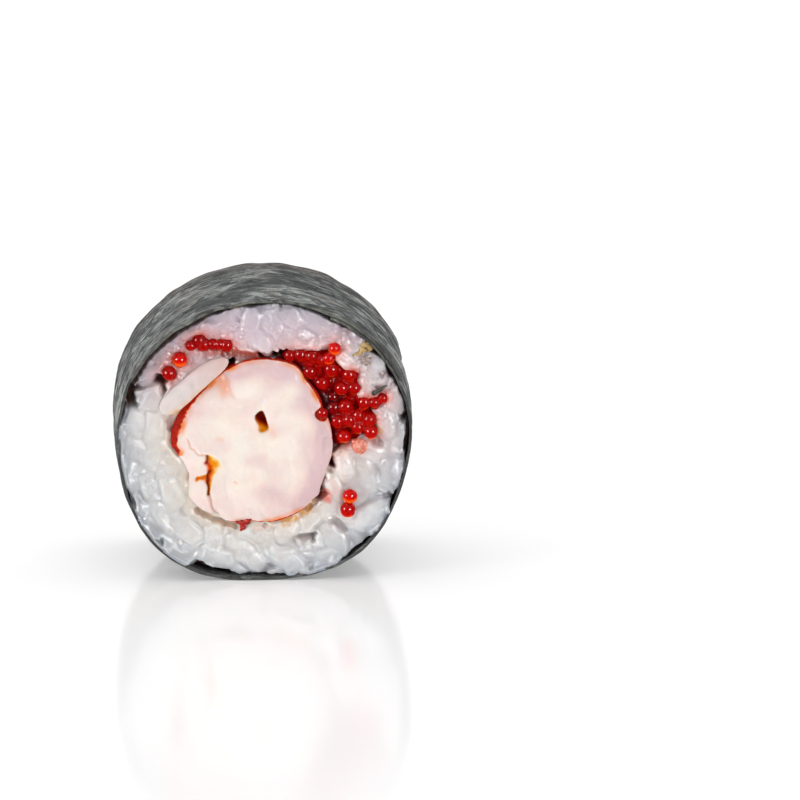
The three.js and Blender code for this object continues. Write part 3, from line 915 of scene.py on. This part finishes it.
def make_rice(material):
    rng = np.random.default_rng(12)
    front_rows = FRONT_GRAINS + scattered(rng, FRONT, UNDERLYING, 0.7)
    back_rows = scattered(rng, BACK, BACK_SHOWN, 0.3) + scattered(rng, BACK, UNDERLYING, 0.7)
    back_hollows = [
        (*(directions(angle) * 15.8), *(directions(angle + 5) * 16.2), 0.5, 3.0)  # by the nori
        for angle in (12, 75, 131, 198, 251, 322)
    ]
    turns = range(0, 360, 5)
    back_gaps = [(angle, 0.3 + 0.3 * math.sin(math.radians(3 * angle))) for angle in turns]
    for name, side, rows, shown, hollows, stains, gaps in (
        ("rice_front", FRONT, front_rows, len(FRONT_GRAINS), FRONT_HOLLOWS, FRONT_STAINS, RIM_GAPS),
        ("rice_back", BACK, back_rows, BACK_SHOWN, back_hollows, {}, back_gaps),
    ):
        grains = Grains(rows, rng)
        flat = rice_ring(side, gaps)
        turn = bearing(flat)
        gap = around(gaps, turn)
        gap += 0.1 * Ripples(68 + side, 2.4)(lift_to_plane(directions(turn) * MEAN_RADIUS))
        depth, looks = rice_face(side, flat, grains, shown, hollows, stains, gap, 70 + side)
        face = face_points(side, flat, depth).reshape(RICE_ROWS, RICE_COLUMNS, 3)
        mesh = new_mesh(name, *rice_body(side, face))
        hidden = [RICE_COLUMNS * (RICE_SIDE_ROWS - 1), RICE_COLUMNS * RICE_SIDE_ROWS]
        for look, values in looks.items():
            set_look(mesh, look, np.pad(values, hidden, constant_values=0.5))
        add_piece(name, mesh, material, ["rice"])


# ---- Shrimp ----

# The belly cut: the two stretches where it is deepest, the slope beside them that fat has
# stained, with its half widths, and a short branch.
CLEFT = [
    [(-7.0, -1.7), (-6.85, -2.0), (-6.8, -2.5)],
    [(-6.5, -3.5), (-6.75, -4.0), (-6.82, -5.0), (-6.65, -6.3)],
]
CLEFT_SLOPE = [
    (-6.8, -1.8), (-6.15, -2.4), (-6.1, -3.0), (-6.35, -3.9), (-6.65, -4.8), (-6.7, -6.3),
]
CLEFT_SLOPE_HALF = [0.3, 0.7, 0.65, 0.42, 0.3, 0.16]
CLEFT_HEART = [(-6.75, -2.4), (-6.4, -3.0), (-6.5, -3.8), (-6.75, -4.6)]
CLEFT_BRANCH = [(-8.05, -4.5), (-7.9, -4.3), (-7.4, -4.2), (-6.9, -4.2)]
HOLE = [(-0.4, 2.95), (-0.1, 1.9)]

# Folds in the flesh: their paths, how deep and half how wide.
FOLDS = [
    ([(-9.2, 0.5), (-8.65, -0.45), (-8.15, -1.05), (-7.6, -1.5), (-7.0, -1.65)], 0.22, 0.16),
    ([(-6.65, -6.2), (-6.5, -6.9), (-6.25, -7.8), (-5.8, -8.8)], 0.45, 0.22),
    ([(0.6, -0.8), (0.35, -3.0), (0.1, -6.6)], 0.16, 0.7),
    ([(2.0, 5.4), (3.7, 5.7), (5.4, 5.0), (6.2, 3.6)], 0.2, 0.5),
    ([(-4.3, 8.2), (-4.1, 7.2), (-3.8, 5.8), (-2.4, 5.0)], 0.25, 0.5),
    ([(-0.2, 5.9), (-0.5, 3.8)], 0.12, 0.4),
    ([(7.0, 2.0), (7.4, 0.6), (7.3, -1.3)], 0.2, 0.35),
    ([(2.6, -2.2), (3.2, -4.6), (2.4, -7.4)], 0.14, 0.6),
    ([(-4.2, -3.4), (-4.6, -6.0), (-3.6, -8.4)], 0.16, 0.6),
    ([(4.6, 1.6), (5.0, -1.0), (5.6, -3.6), (4.6, -6.4)], 0.16, 0.5),
    ([(-8.2, 3.8), (-5.6, 4.5), (-2.6, 4.3)], 0.12, 0.45),
    ([(-1.4, -8.0), (0.4, -9.0), (2.6, -8.6)], 0.14, 0.5),
]

# Where the flesh is tinged with orange: a soft patch, and paths with half their width and how
# strong they are.
ORANGE_PATCH = [(-6.2, 7.7), (-5.2, 7.9), (-4.4, 6.5)]
ORANGE_MARKS = [
    (FOLDS[0][0], 0.08, 0.35),
    (FOLDS[1][0], 0.11, 0.35),
    ([(0.5, 1.7), (1.0, 1.2)], 0.5, 0.2),
    ([(-5.4, 0.3), (-5.1, 0.3)], 0.3, 0.2),
    ([(-3.5, -4.8), (-3.3, -4.9)], 0.2, 0.4),
]

# How wide a band of skin shows round the edge: degrees round the shrimp's centre, millimetres.
SKIN_BAND = [
    (0, 0.05), (20, 0.15), (28, 0.3), (50, 0.3), (58, 0.3), (70, 0.25), (82, 0.15), (100, 0.15),
    (118, 0.35), (132, 0.55), (146, 0.6), (152, 0.7), (160, 1.0), (172, 1.2), (179, 0.9),
    (185, 0.8), (188, 0.3), (190, 0.0), (246, 0.0), (254, 0.12), (266, 0.15), (288, 0.25),
    (302, 0.15), (312, 0.05), (340, 0.05),
]


def stroke(flat, path, half, soft=0.5):
    """1 on a path and 0 beyond half a width from it."""
    gap, _ = path_distance(flat, path)
    return smoothstep(half * (1 + soft), half * (1 - soft), gap)


def shrimp_face(side, flat, inset, angle):
    """Depth of the cut flesh, and the look of each of its points."""
    place = lift_to_plane(flat)
    wobble = flat + 0.12 * np.stack([Ripples(44, 1.2)(place), Ripples(45, 1.2)(place)], axis=1)
    off_centre = np.linalg.norm(flat - SHRIMP_CENTRE, axis=1) / 9.5
    depth = SHRIMP_DOME * off_centre**2 - 0.16 * Ripples(41 + side, 5.0)(place)
    depth += 0.04 * Ripples(51 + side, 1.5)(place) + 0.014 * Ripples(52 + side, 0.5)(place)
    band = around(SKIN_BAND, angle)
    rolled = 0.3 + 0.7 * smoothstep(0.3, 0.8, band)
    for deep, reach in ((0.4, 2.4), (0.25, 0.7)):
        depth += rolled * deep * np.clip(1 - inset / reach, 0, 1) ** 2
    for path, deep, half in FOLDS:
        off, _ = path_distance(wobble, path)
        depth += deep * np.exp(-((off / half) ** 2))
    core = np.maximum(*[stroke(wobble, path, 0.14, 0.8) for path in CLEFT])
    off, share = path_distance(wobble, CLEFT_SLOPE)
    half = np.interp(share, np.linspace(0, 1, len(CLEFT_SLOPE)), CLEFT_SLOPE_HALF)
    slope = smoothstep(1.5, 0.0, off / half)
    branch = stroke(wobble, CLEFT_BRANCH, 0.22, 0.8)
    slope = np.maximum(slope, branch)
    heart = np.maximum(stroke(wobble, CLEFT_HEART, 0.32, 0.8), 0.6 * branch)
    pit = stroke(wobble, HOLE, 0.62, 0.2)
    pit_floor = smoothstep(1.7, 2.5, flat[:, 1] + 0.5 * (flat[:, 0] + 0.2))
    notch = smoothstep(1.05, 0.7, np.linalg.norm(wobble - (7.0, 3.3), axis=1))
    depth += 0.16 * core + 0.25 * slope + pit * (0.8 + 1.0 * pit_floor) + 0.3 * notch
    skin = smoothstep(1.2, 0.55, (inset + 0.05) / np.maximum(band, 0.02)) * (band > 0.03)
    patch, _ = path_distance(wobble, ORANGE_PATCH)
    beyond = wobble[:, 0] + 4.3 - 0.28 * (8.0 - wobble[:, 1])
    orange = 0.6 * np.exp(-((patch / 0.95) ** 2)) * smoothstep(0.3, -0.2, beyond)
    for path, half, strength in ORANGE_MARKS:
        orange = np.maximum(orange, strength * stroke(wobble, path, half, 0.9))
    fringe = smoothstep(0.6, 0.0, inset - band) * smoothstep(0.05, 0.2, band)
    orange = np.maximum(orange, (0.5 + 0.35 * Ripples(53, 2.0)(place)) * fringe)
    blush_and_shade = 0.3 * smoothstep(0.35, 0.9, off_centre) + smoothstep(3.0, 9.0, flat[:, 0])
    # painted shade: the last term darkens the flesh towards the bottom
    blush_and_shade += 0.4 * smoothstep(5.0, 10.0, flat[:, 1]) + 0.35 * smoothstep(-3.5, -8.0, flat[:, 1])
    blush_and_shade += 0.5 * smoothstep(2.6, 0.2, inset) + 0.2 * Ripples(47, 3.0)(place)
    blush_and_shade *= 1 - 0.65 * smoothstep(4.5, 9.5, -flat.sum(axis=1))
    looks = {
        "blush_and_shade": blush_and_shade,
        "skin": np.maximum(skin, notch),
        "orange": orange,
        "amber": np.maximum(slope, pit),
        "rust": np.maximum(heart, pit * smoothstep(0.0, 0.5, pit_floor)),
        "pit": np.maximum(core, pit * smoothstep(0.4, 0.9, pit_floor)),
    }
    return depth, looks


def make_shrimp():
    cells, steps = 170, 20
    size = cells + 1
    grid = np.linspace(-1, 1, size)
    a, b = [values.ravel() for values in np.meshgrid(grid, grid, indexing="ij")]
    disc = np.stack([a * np.sqrt(1 - b * b / 2), b * np.sqrt(1 - a * a / 2)], axis=1)
    angle = bearing(disc)
    radius = shrimp_edge(angle)
    flat = disc * radius[:, None] + SHRIMP_CENTRE
    inset = radius * (1 - np.linalg.norm(disc, axis=1))
    front_depth, front_looks = shrimp_face(FRONT, flat, inset, angle)
    back_depth, back_looks = shrimp_face(BACK, flat, inset, angle)
    front, back = face_points(FRONT, flat, front_depth), face_points(BACK, flat, back_depth)
    row = np.arange(cells)
    border = np.concatenate(
        [row * size, cells * size + row, (size - row) * size - 1, cells - row]
    )
    share = np.linspace(0, 1, steps + 1)[1:-1, None, None]
    sides = front[border] * (1 - share) + back[border] * share
    away = sides[..., [0, 2]] - SHRIMP_CENTRE
    away /= np.linalg.norm(away, axis=-1, keepdims=True)
    swell = 0.08 * Ripples(61, 2.4)(sides.reshape(-1, 3)).reshape(sides.shape[:2])
    sides[..., [0, 2]] += away * swell[..., None]
    points = np.concatenate([front, back, sides.reshape(-1, 3)])
    faces = grid_faces(size, size)
    faces += grid_faces(size, size, size * size, flip=True)
    ring = len(border)
    rings = [border, *(2 * size * size + ring * k + np.arange(ring) for k in range(steps - 1))]
    rings.append(border + size * size)
    for near, far in zip(rings, rings[1:]):
        quads = [near, np.roll(near, -1), np.roll(far, -1), far]
        faces += np.stack(quads, axis=1).tolist()
    mesh = new_mesh("shrimp_flesh", points, faces)
    face_outwards(mesh)
    rest = len(points) - 2 * size * size
    for name, values in front_looks.items():
        side = np.full(rest, 1.0 if name in ("skin", "orange", "blush_and_shade") else 0.0)
        set_look(mesh, name, np.concatenate([values, back_looks[name], side]))
    add_piece("shrimp_flesh", mesh, shrimp_material(), ["shrimp"])


# ---- Roe ----

# The eggs that show at the front cut: x, z, diameter, how deep they lie and how bright they are,
# partly painted light, brightest where an egg lies alone against the rice.
RIGHT_EGGS = [
    (3.1, 10.3, 1.5, 0.5, 0.25), (4.4, 10.4, 1.7, 0.3, 0.25), (5.7, 10.2, 1.6, 0.3, 0.25),
    (6.7, 9.7, 1.6, 0.7, 0.4), (8.4, 11.1, 1.6, 0.1, 1.0), (7.7, 9.9, 1.6, 0.3, 0.8),
    (5.5, 8.3, 1.8, 0.3, 0.25), (6.9, 6.9, 1.8, 0.6, 0.4), (8.0, 8.5, 1.8, 0.5, 0.4),
    (10.1, 7.9, 1.8, 0.3, 0.4), (9.2, 6.3, 1.7, 0.2, 0.4), (10.7, 6.3, 1.7, 0.5, 0.4),
    (8.2, 5.1, 1.6, 1.0, 0.0), (9.7, 4.1, 1.8, 0.1, 0.4), (8.3, 3.9, 1.7, 0.5, 0.0),
    (11.9, 4.6, 1.7, 0.2, 0.45), (13.1, 4.6, 1.5, 0.2, 0.45), (14.1, 5.1, 1.3, 0.2, 0.45),
    (10.1, 2.5, 1.7, 0.1, 0.4), (8.7, 2.3, 1.7, 0.3, 0.4), (11.2, 3.0, 1.7, 0.3, 0.45),
    (12.5, 2.5, 1.7, 0.1, 0.45), (11.1, 1.6, 1.6, 0.2, 0.45), (12.7, 1.0, 1.7, 0.1, 0.6),
    (9.5, 0.5, 1.7, 0.1, 0.6), (6.95, 3.3, 1.5, 0.45, 0.5),
]
LEFT_EGGS = [
    (-11.2, 8.3, 1.7, 0.1, 0.4), (-9.9, 9.9, 1.85, 0.0, 1.0), (-8.6, 11.6, 1.3, 0.3, 0.35),
    (-7.6, 12.2, 1.6, 0.2, 0.2), (-7.1, 11.7, 1.7, 0.2, 0.35), (-6.0, 11.7, 1.4, 0.4, 0.35),
    (-5.2, 11.7, 1.4, 0.4, 0.35), (-4.4, 11.6, 1.6, 0.3, 0.35),
]
LONE_EGGS = [(10.15, -6.65, 1.75, -0.9, 1.0), (9.9, -8.3, 1.85, -0.9, 0.6)]

GLOW_SIDE = np.array((-0.25, 0.25, -0.93))  # the side of an egg on which light gathers
PULP_SWELL = {"roe_right": 0.485, "roe_left": 0.46}  # pulp's radius over an egg's diameter
CORE_INSET = 1.5  # how far behind the cuts the pulp's core ends


def laid_out(eggs):
    """Middles, diameters and brightness of eggs at the front cut."""
    x, z, size, depth, bright = np.array(eggs).T
    return face_points(FRONT, np.stack([x, z], axis=1), depth + size / 2), size, bright


def eggs_behind(rng, section, side, count, depths):
    """Middles of eggs heaped in a seam behind a cut, as far as may be from each other."""
    low, high = section.min(axis=(0, 1)), section.max(axis=(0, 1))
    tries, far_enough, inset = 80, 2.0, 0.4
    chosen = np.empty((0, 3))
    for _ in range(count):
        flat = rng.uniform(low, high, (tries, 2))
        behind = rng.uniform(*depths, tries)
        room = np.minimum(-signed_distance(flat, section) - inset, 0)
        spots = face_points(side, flat, behind)
        gap = np.full(tries, far_enough)
        if len(chosen):
            gap = np.linalg.norm(spots[:, None] - chosen, axis=2).min(axis=1)
        chosen = np.vstack([chosen, spots[(np.minimum(gap, far_enough) + 8 * room).argmax()]])
    return chosen


def egg_mesh(name, centres, diameters, bright, rng):
    squash = rng.uniform(0.93, 1.04, (len(centres), 3))
    mesh = new_mesh(name, *balls(centres, squash * diameters[:, None] / 2))
    # Painted light: more orange on the side where light gathers, most in the brightest eggs
    gathered = BALL @ GLOW_SIDE + 0.25 * Ripples(91, 1.2)(BALL)
    glow = np.clip(gathered + 0.6 * bright[:, None] ** 2, 0, 1) * (0.4 + 0.6 * bright[:, None])
    set_look(mesh, "glow", glow.ravel())
    set_look(mesh, "shade", np.repeat(0.3 + 0.7 * bright, len(BALL)))
    return mesh


def roe_pulp(name, node, centres, diameters):
    """The sticky mass between the eggs, which runs through the roll."""
    solid = bmesh.new()
    solid.from_mesh(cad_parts[node].data)
    bmesh.ops.triangulate(solid, faces=solid.faces)
    core = np.array([v.co for v in solid.verts]) / MM - (0, 0, AXIS_HEIGHT)
    core[:, 1] *= (HALF_LENGTH - CORE_INSET) / np.abs(core[:, 1]).max()
    core_faces = [[v.index for v in face.verts] for face in solid.faces]
    solid.free()
    points, faces = balls(centres, diameters * PULP_SWELL[node])
    faces += [[corner + len(points) for corner in face] for face in core_faces]
    heap = new_mesh(name, np.concatenate([points, core]), faces)
    mesh = melted(heap, grain=0.2, rounds=5)
    points = mesh_points(mesh)
    flat = points[:, [0, 2]]
    # painted shadow: the gel darker in one patch and towards the shrimp's edge
    shade = 0.6 - 0.6 * spot(flat, (7.9, 4.8), 1.8)
    shade *= smoothstep(0.1, 1.2, from_shrimp(flat))
    set_look(mesh, "glow", np.full(len(points), 0.1))
    set_look(mesh, "shade", shade)
    return mesh


def gel_along_shrimp():
    """Middles and diameters of the drops of gel between the thick seam and the shrimp."""
    degrees = np.arange(2, 74, 4)
    outside, behind, diameter = 0.4, 1.75, 1.5
    flat = SHRIMP_CENTRE + directions(degrees) * (shrimp_edge(degrees) + outside)[:, None]
    centres = np.concatenate([face_points(side, flat, behind) for side in (FRONT, BACK)])
    return centres, np.full(len(centres), diameter)


def make_roe(by_hand, node, seed, counts, skin, gel):
    rng = np.random.default_rng(seed)
    section = FILLINGS[node]
    shown, size, bright = laid_out(by_hand)
    heap = [
        shown,
        eggs_behind(rng, section, FRONT, counts[0], (1.7, 2.3)),
        eggs_behind(rng, section, BACK, counts[1], (1.1, 1.5)),
        eggs_behind(rng, section, BACK, counts[0], (2.0, 2.6)),
    ]
    centres = np.concatenate(heap)
    hidden = len(centres) - len(size)
    diameters = np.concatenate([size, rng.uniform(1.55, 1.85, hidden)])
    bright = np.concatenate([bright, rng.uniform(0, 0.6, hidden)])
    eggs = egg_mesh(node + "_eggs", centres, diameters, bright, rng)
    add_piece(node + "_eggs", eggs, skin, [node])
    if node == "roe_right":
        drops, sizes = gel_along_shrimp()
        centres, diameters = np.concatenate([centres, drops]), np.concatenate([diameters, sizes])
    pulp = roe_pulp(node + "_pulp", node, centres, diameters)
    add_piece(node + "_pulp", pulp, gel)


def make_all_roe():
    skin = roe_material("egg_skin", 0.15, 0.2)
    gel = roe_material("egg_gel", 0.3, 0.04)
    make_roe(RIGHT_EGGS, "roe_right", 7, (24, 34), skin, gel)
    make_roe(LEFT_EGGS, "roe_left", 8, (8, 10), skin, gel)
    lone = egg_mesh("lone_eggs", *laid_out(LONE_EGGS), np.random.default_rng(9))
    add_piece("lone_eggs", lone, skin)


# ---- Loose bits ----


def make_loose_grain(material):
    """The long grain that lies across the shrimp's upper left edge."""
    start, end = np.array((-12.3, 3.8)), np.array((-4.3, 10.1))  # x, z
    width, thickness, proud = 2.6, 1.6, 0.15
    ball, faces = sphere_mesh(5)
    length = np.linalg.norm(end - start)
    along = (end - start) / length
    across = np.array((-along[1], along[0]))
    u = ball[:, 0]
    power = np.where(u < 0, 4.4, 3.6)
    blunt = np.sqrt(np.clip(1 - np.abs(u) ** power, 0, 1) / np.clip(1 - u * u, 1e-4, 1))
    v = ball[:, 1] * blunt * (0.93 - 0.11 * u) - 0.16 * (u * u - 0.5) + 0.07 * np.sin(3 * u)
    flat = (start + end) / 2 + np.outer(u * length / 2, along) + np.outer(v * width / 2, across)
    lumps = 0.07 * Ripples(95, 1.3)(lift_to_plane(flat))
    height = np.sign(ball[:, 2]) * np.abs(ball[:, 2] * blunt) ** 0.7
    points = face_points(FRONT, flat, -proud + (1 - height) * thickness / 2 + lumps)
    mesh = new_mesh("loose_grain", points, faces.tolist())
    face_outwards(mesh)
    # core: painted shading, lighter towards the grain's middle
    looks = {"core": 0.4 * (1 - np.abs(u) ** 3), "painted_bounce_warmth": 0.8, "lilac": 0.3, "matt": 1}
    looks |= {"stain": 0.08 + 0.16 * u, "amber": 0.6 * smoothstep(-0.3, -1.0, v)}
    # edge: a painted highlight along one side of the grain
    looks |= {"edge": 0.3 * smoothstep(0.5, 1.0, v)}
    for look, value in looks.items():
        set_look(mesh, look, np.zeros(len(points)) + value)
    add_piece("loose_grain", mesh, material)


# Crumbs and shreds on the front cut: the two colours of each, and the balls that it is melted
# from, as x, z, depth and radius.
SCRAPS = {
    "olive_crumb": [
        (196, 166, 108), (116, 74, 30),
        (10.6, 10.35, 0.5, 0.16), (11.0, 10.5, 0.5, 0.26), (11.4, 10.7, 0.5, 0.36),
        (11.7, 11.2, 0.6, 0.45), (11.8, 11.8, 0.7, 0.42), (11.9, 12.3, 0.8, 0.35),
        (12.0, 11.1, 0.6, 0.45), (12.3, 11.6, 0.7, 0.5), (12.5, 11.2, 0.7, 0.42),
        (12.4, 12.1, 0.9, 0.4), (12.9, 11.6, 0.9, 0.42), (12.9, 12.1, 1.0, 0.3),
    ],
    "husk": [
        (172, 150, 138), (112, 92, 78),
        (12.6, 10.0, 0.2, 0.16), (12.3, 10.2, 0.1, 0.22), (11.9, 10.1, 0.1, 0.25),
        (11.8, 9.7, 0.1, 0.26), (12.1, 9.4, 0.1, 0.25), (12.5, 9.45, 0.2, 0.2),
    ],
    "burst_egg": [
        (234, 158, 140), (216, 98, 66),
        (10.7, -0.1, 0.65, 0.4), (11.1, -0.1, 0.6, 0.45), (11.5, -0.2, 0.6, 0.5),
        (11.9, -0.4, 0.65, 0.4), (10.8, -0.6, 0.6, 0.45), (11.3, -0.7, 0.6, 0.55),
        (11.8, -0.9, 0.6, 0.45), (11.0, -1.1, 0.65, 0.4), (11.5, -1.3, 0.65, 0.4),
    ],
    "red_shred": [
        (192, 26, 8), (146, 12, 4),
        (-3.2, -9.75, 0.8, 0.3), (-2.7, -9.9, 0.7, 0.42), (-2.1, -9.7, 0.7, 0.4),
        (-1.7, -9.4, 0.8, 0.25), (-2.6, -10.4, 0.8, 0.36), (-2.8, -10.8, 0.9, 0.2),
    ],
    "nori_scrap": [
        (72, 72, 66), (40, 40, 36),
        (13.0, 5.85, 0.2, 0.3), (13.25, 6.0, 0.2, 0.3), (13.5, 6.12, 0.2, 0.28),
        (13.75, 6.25, 0.2, 0.26), (14.0, 6.4, 0.2, 0.22), (14.25, 6.55, 0.25, 0.18),
        (14.5, 6.7, 0.3, 0.14),
    ],
}


def scrap_material():
    n = Nodes(bpy.data.materials.new("scraps"))
    place = n.position()
    spotted = n.ramp(n.noise(place, 0.6), 0.42, 0.66)
    base = n.mix(spotted, n.attribute("tint", "Color"), n.attribute("spots", "Color"))
    fine = n.noise(place, 0.25)
    n.surface(base_color=base, roughness=n.ramp(fine, 0.3, 0.7, 0.25, 0.5))
    n.surface(normal=n.bump(fine, 0.05), ior=1.4, specular_ior_level=0.2)
    n.surface(subsurface_weight=0.4, subsurface_radius=(1.0, 0.6, 0.4), subsurface_scale=0.4 * MM)
    return n.owner


def make_scraps():
    material = scrap_material()
    for seed, (name, (tint, spots, *lumps)) in enumerate(SCRAPS.items()):
        x, z, depth, radius = np.array(lumps).T
        centres = face_points(FRONT, np.stack([x, z], axis=1), depth)
        mesh = melted(new_mesh(name, *balls(centres, radius)), grain=0.07, rounds=4)
        points = mesh_points(mesh)
        points[:, 1] += 0.07 * Ripples(110 + seed, 0.6)(points)
        move_points(mesh, points)
        for attribute, shade in (("tint", tint), ("spots", spots)):
            set_attribute(mesh, attribute, np.tile(colour(*shade)[:3], (len(points), 1)))
        add_piece(name, mesh, material)


# ---- Studio ----


def make_floor():
    reach = 3.0  # metres
    corners = [(-reach, -reach, 0), (reach, -reach, 0), (reach, reach, 0), (-reach, reach, 0)]
    mesh = new_mesh("floor", corners, [(0, 1, 2, 3)])
    n = Nodes(bpy.data.materials.new("floor"))
    n.surface(base_color=(0.9, 0.9, 0.9, 1), roughness=0.12, ior=1.45, specular_ior_level=0.25)
    n.surface(emission_color=(1, 1, 1, 1), emission_strength=0.2)
    mesh.materials.append(n.owner)
    floor = new_object("floor", mesh)
    floor.visible_glossy = False


def make_light(name, place, size, power, only_glints=False):
    lamp = bpy.data.lights.new(name, "AREA")
    lamp.shape = "SQUARE"
    lamp.size = size
    lamp.energy = power
    light = new_object(name, lamp)
    light.location = place
    light.visible_diffuse = not only_glints
    middle = Vector((0, 0, 0.017))  # of the slice
    light.rotation_euler = (middle - light.location).to_track_quat("-Z", "Y").to_euler()


WORLD_FRONT, WORLD_BACK = 0.05, 1.0  # how bright the studio is before and behind the slice


def make_world():
    """A white studio, brightest overhead and behind the slice."""
    n = Nodes(bpy.data.worlds.new("studio"))
    heading = n.add("ShaderNodeTexCoord").outputs["Generated"]
    parts = n.add("ShaderNodeSeparateXYZ", {0: heading}).outputs
    behind = n.ramp(parts["Y"], -0.3, 0.5)
    above = n.ramp(parts["Z"], 0.3, 0.9)
    bright = n.math("MAXIMUM", behind, above)
    strength = n.ramp(bright, 0, 1, WORLD_FRONT, WORLD_BACK)
    background = n.tree.nodes["Background"]
    n.set(background, "Strength", strength)
    n.set(background, "Color", (1, 1, 1, 1))
    bpy.context.scene.world = n.owner
    bpy.context.scene.view_settings.view_transform = "Standard"


def make_camera():
    """A long lens a little above the slice, which stands left of the middle of the view."""
    distance, elevation, turn = 0.62, math.radians(12), math.radians(2.7)
    view = 94.88 * MM  # how much of the front cut's plane the picture spans
    aside, above = 0.1695 * view, 0.0534 * view  # of the picture's middle from the roll's axis
    level = math.cos(elevation)
    forward = Vector((math.sin(turn) * level, math.cos(turn) * level, -math.sin(elevation)))
    right = forward.cross(Vector((0, 0, 1))).normalized()
    up = right.cross(forward)
    face = Vector((0, -HALF_LENGTH * MM, AXIS_HEIGHT * MM))
    place = face - forward * distance + right * aside + up * above
    camera = new_object("camera", bpy.data.cameras.new("camera"))
    camera.data.lens = camera.data.sensor_width * distance / view
    camera.data.clip_start, camera.data.clip_end = 0.01, 20
    facing = Matrix((right, up, -forward)).transposed().to_4x4()
    camera.matrix_world = Matrix.Translation(place) @ facing
    bpy.context.scene.camera = camera


make_camera()
make_world()
make_floor()
LAMPS = {"left": ((-0.66, -0.36, 0.24), 1.5), "right": ((0.42, -0.66, 0.18), 1.1)}
for side, (place, power) in LAMPS.items():
    make_light(side, place, 0.3, power)
    make_light(side + "_glint", place, 0.25, 26.0, only_glints=True)
make_nori()
rice = rice_material()
make_rice(rice)
make_shrimp()
make_all_roe()
make_scraps()
make_loose_grain(rice)
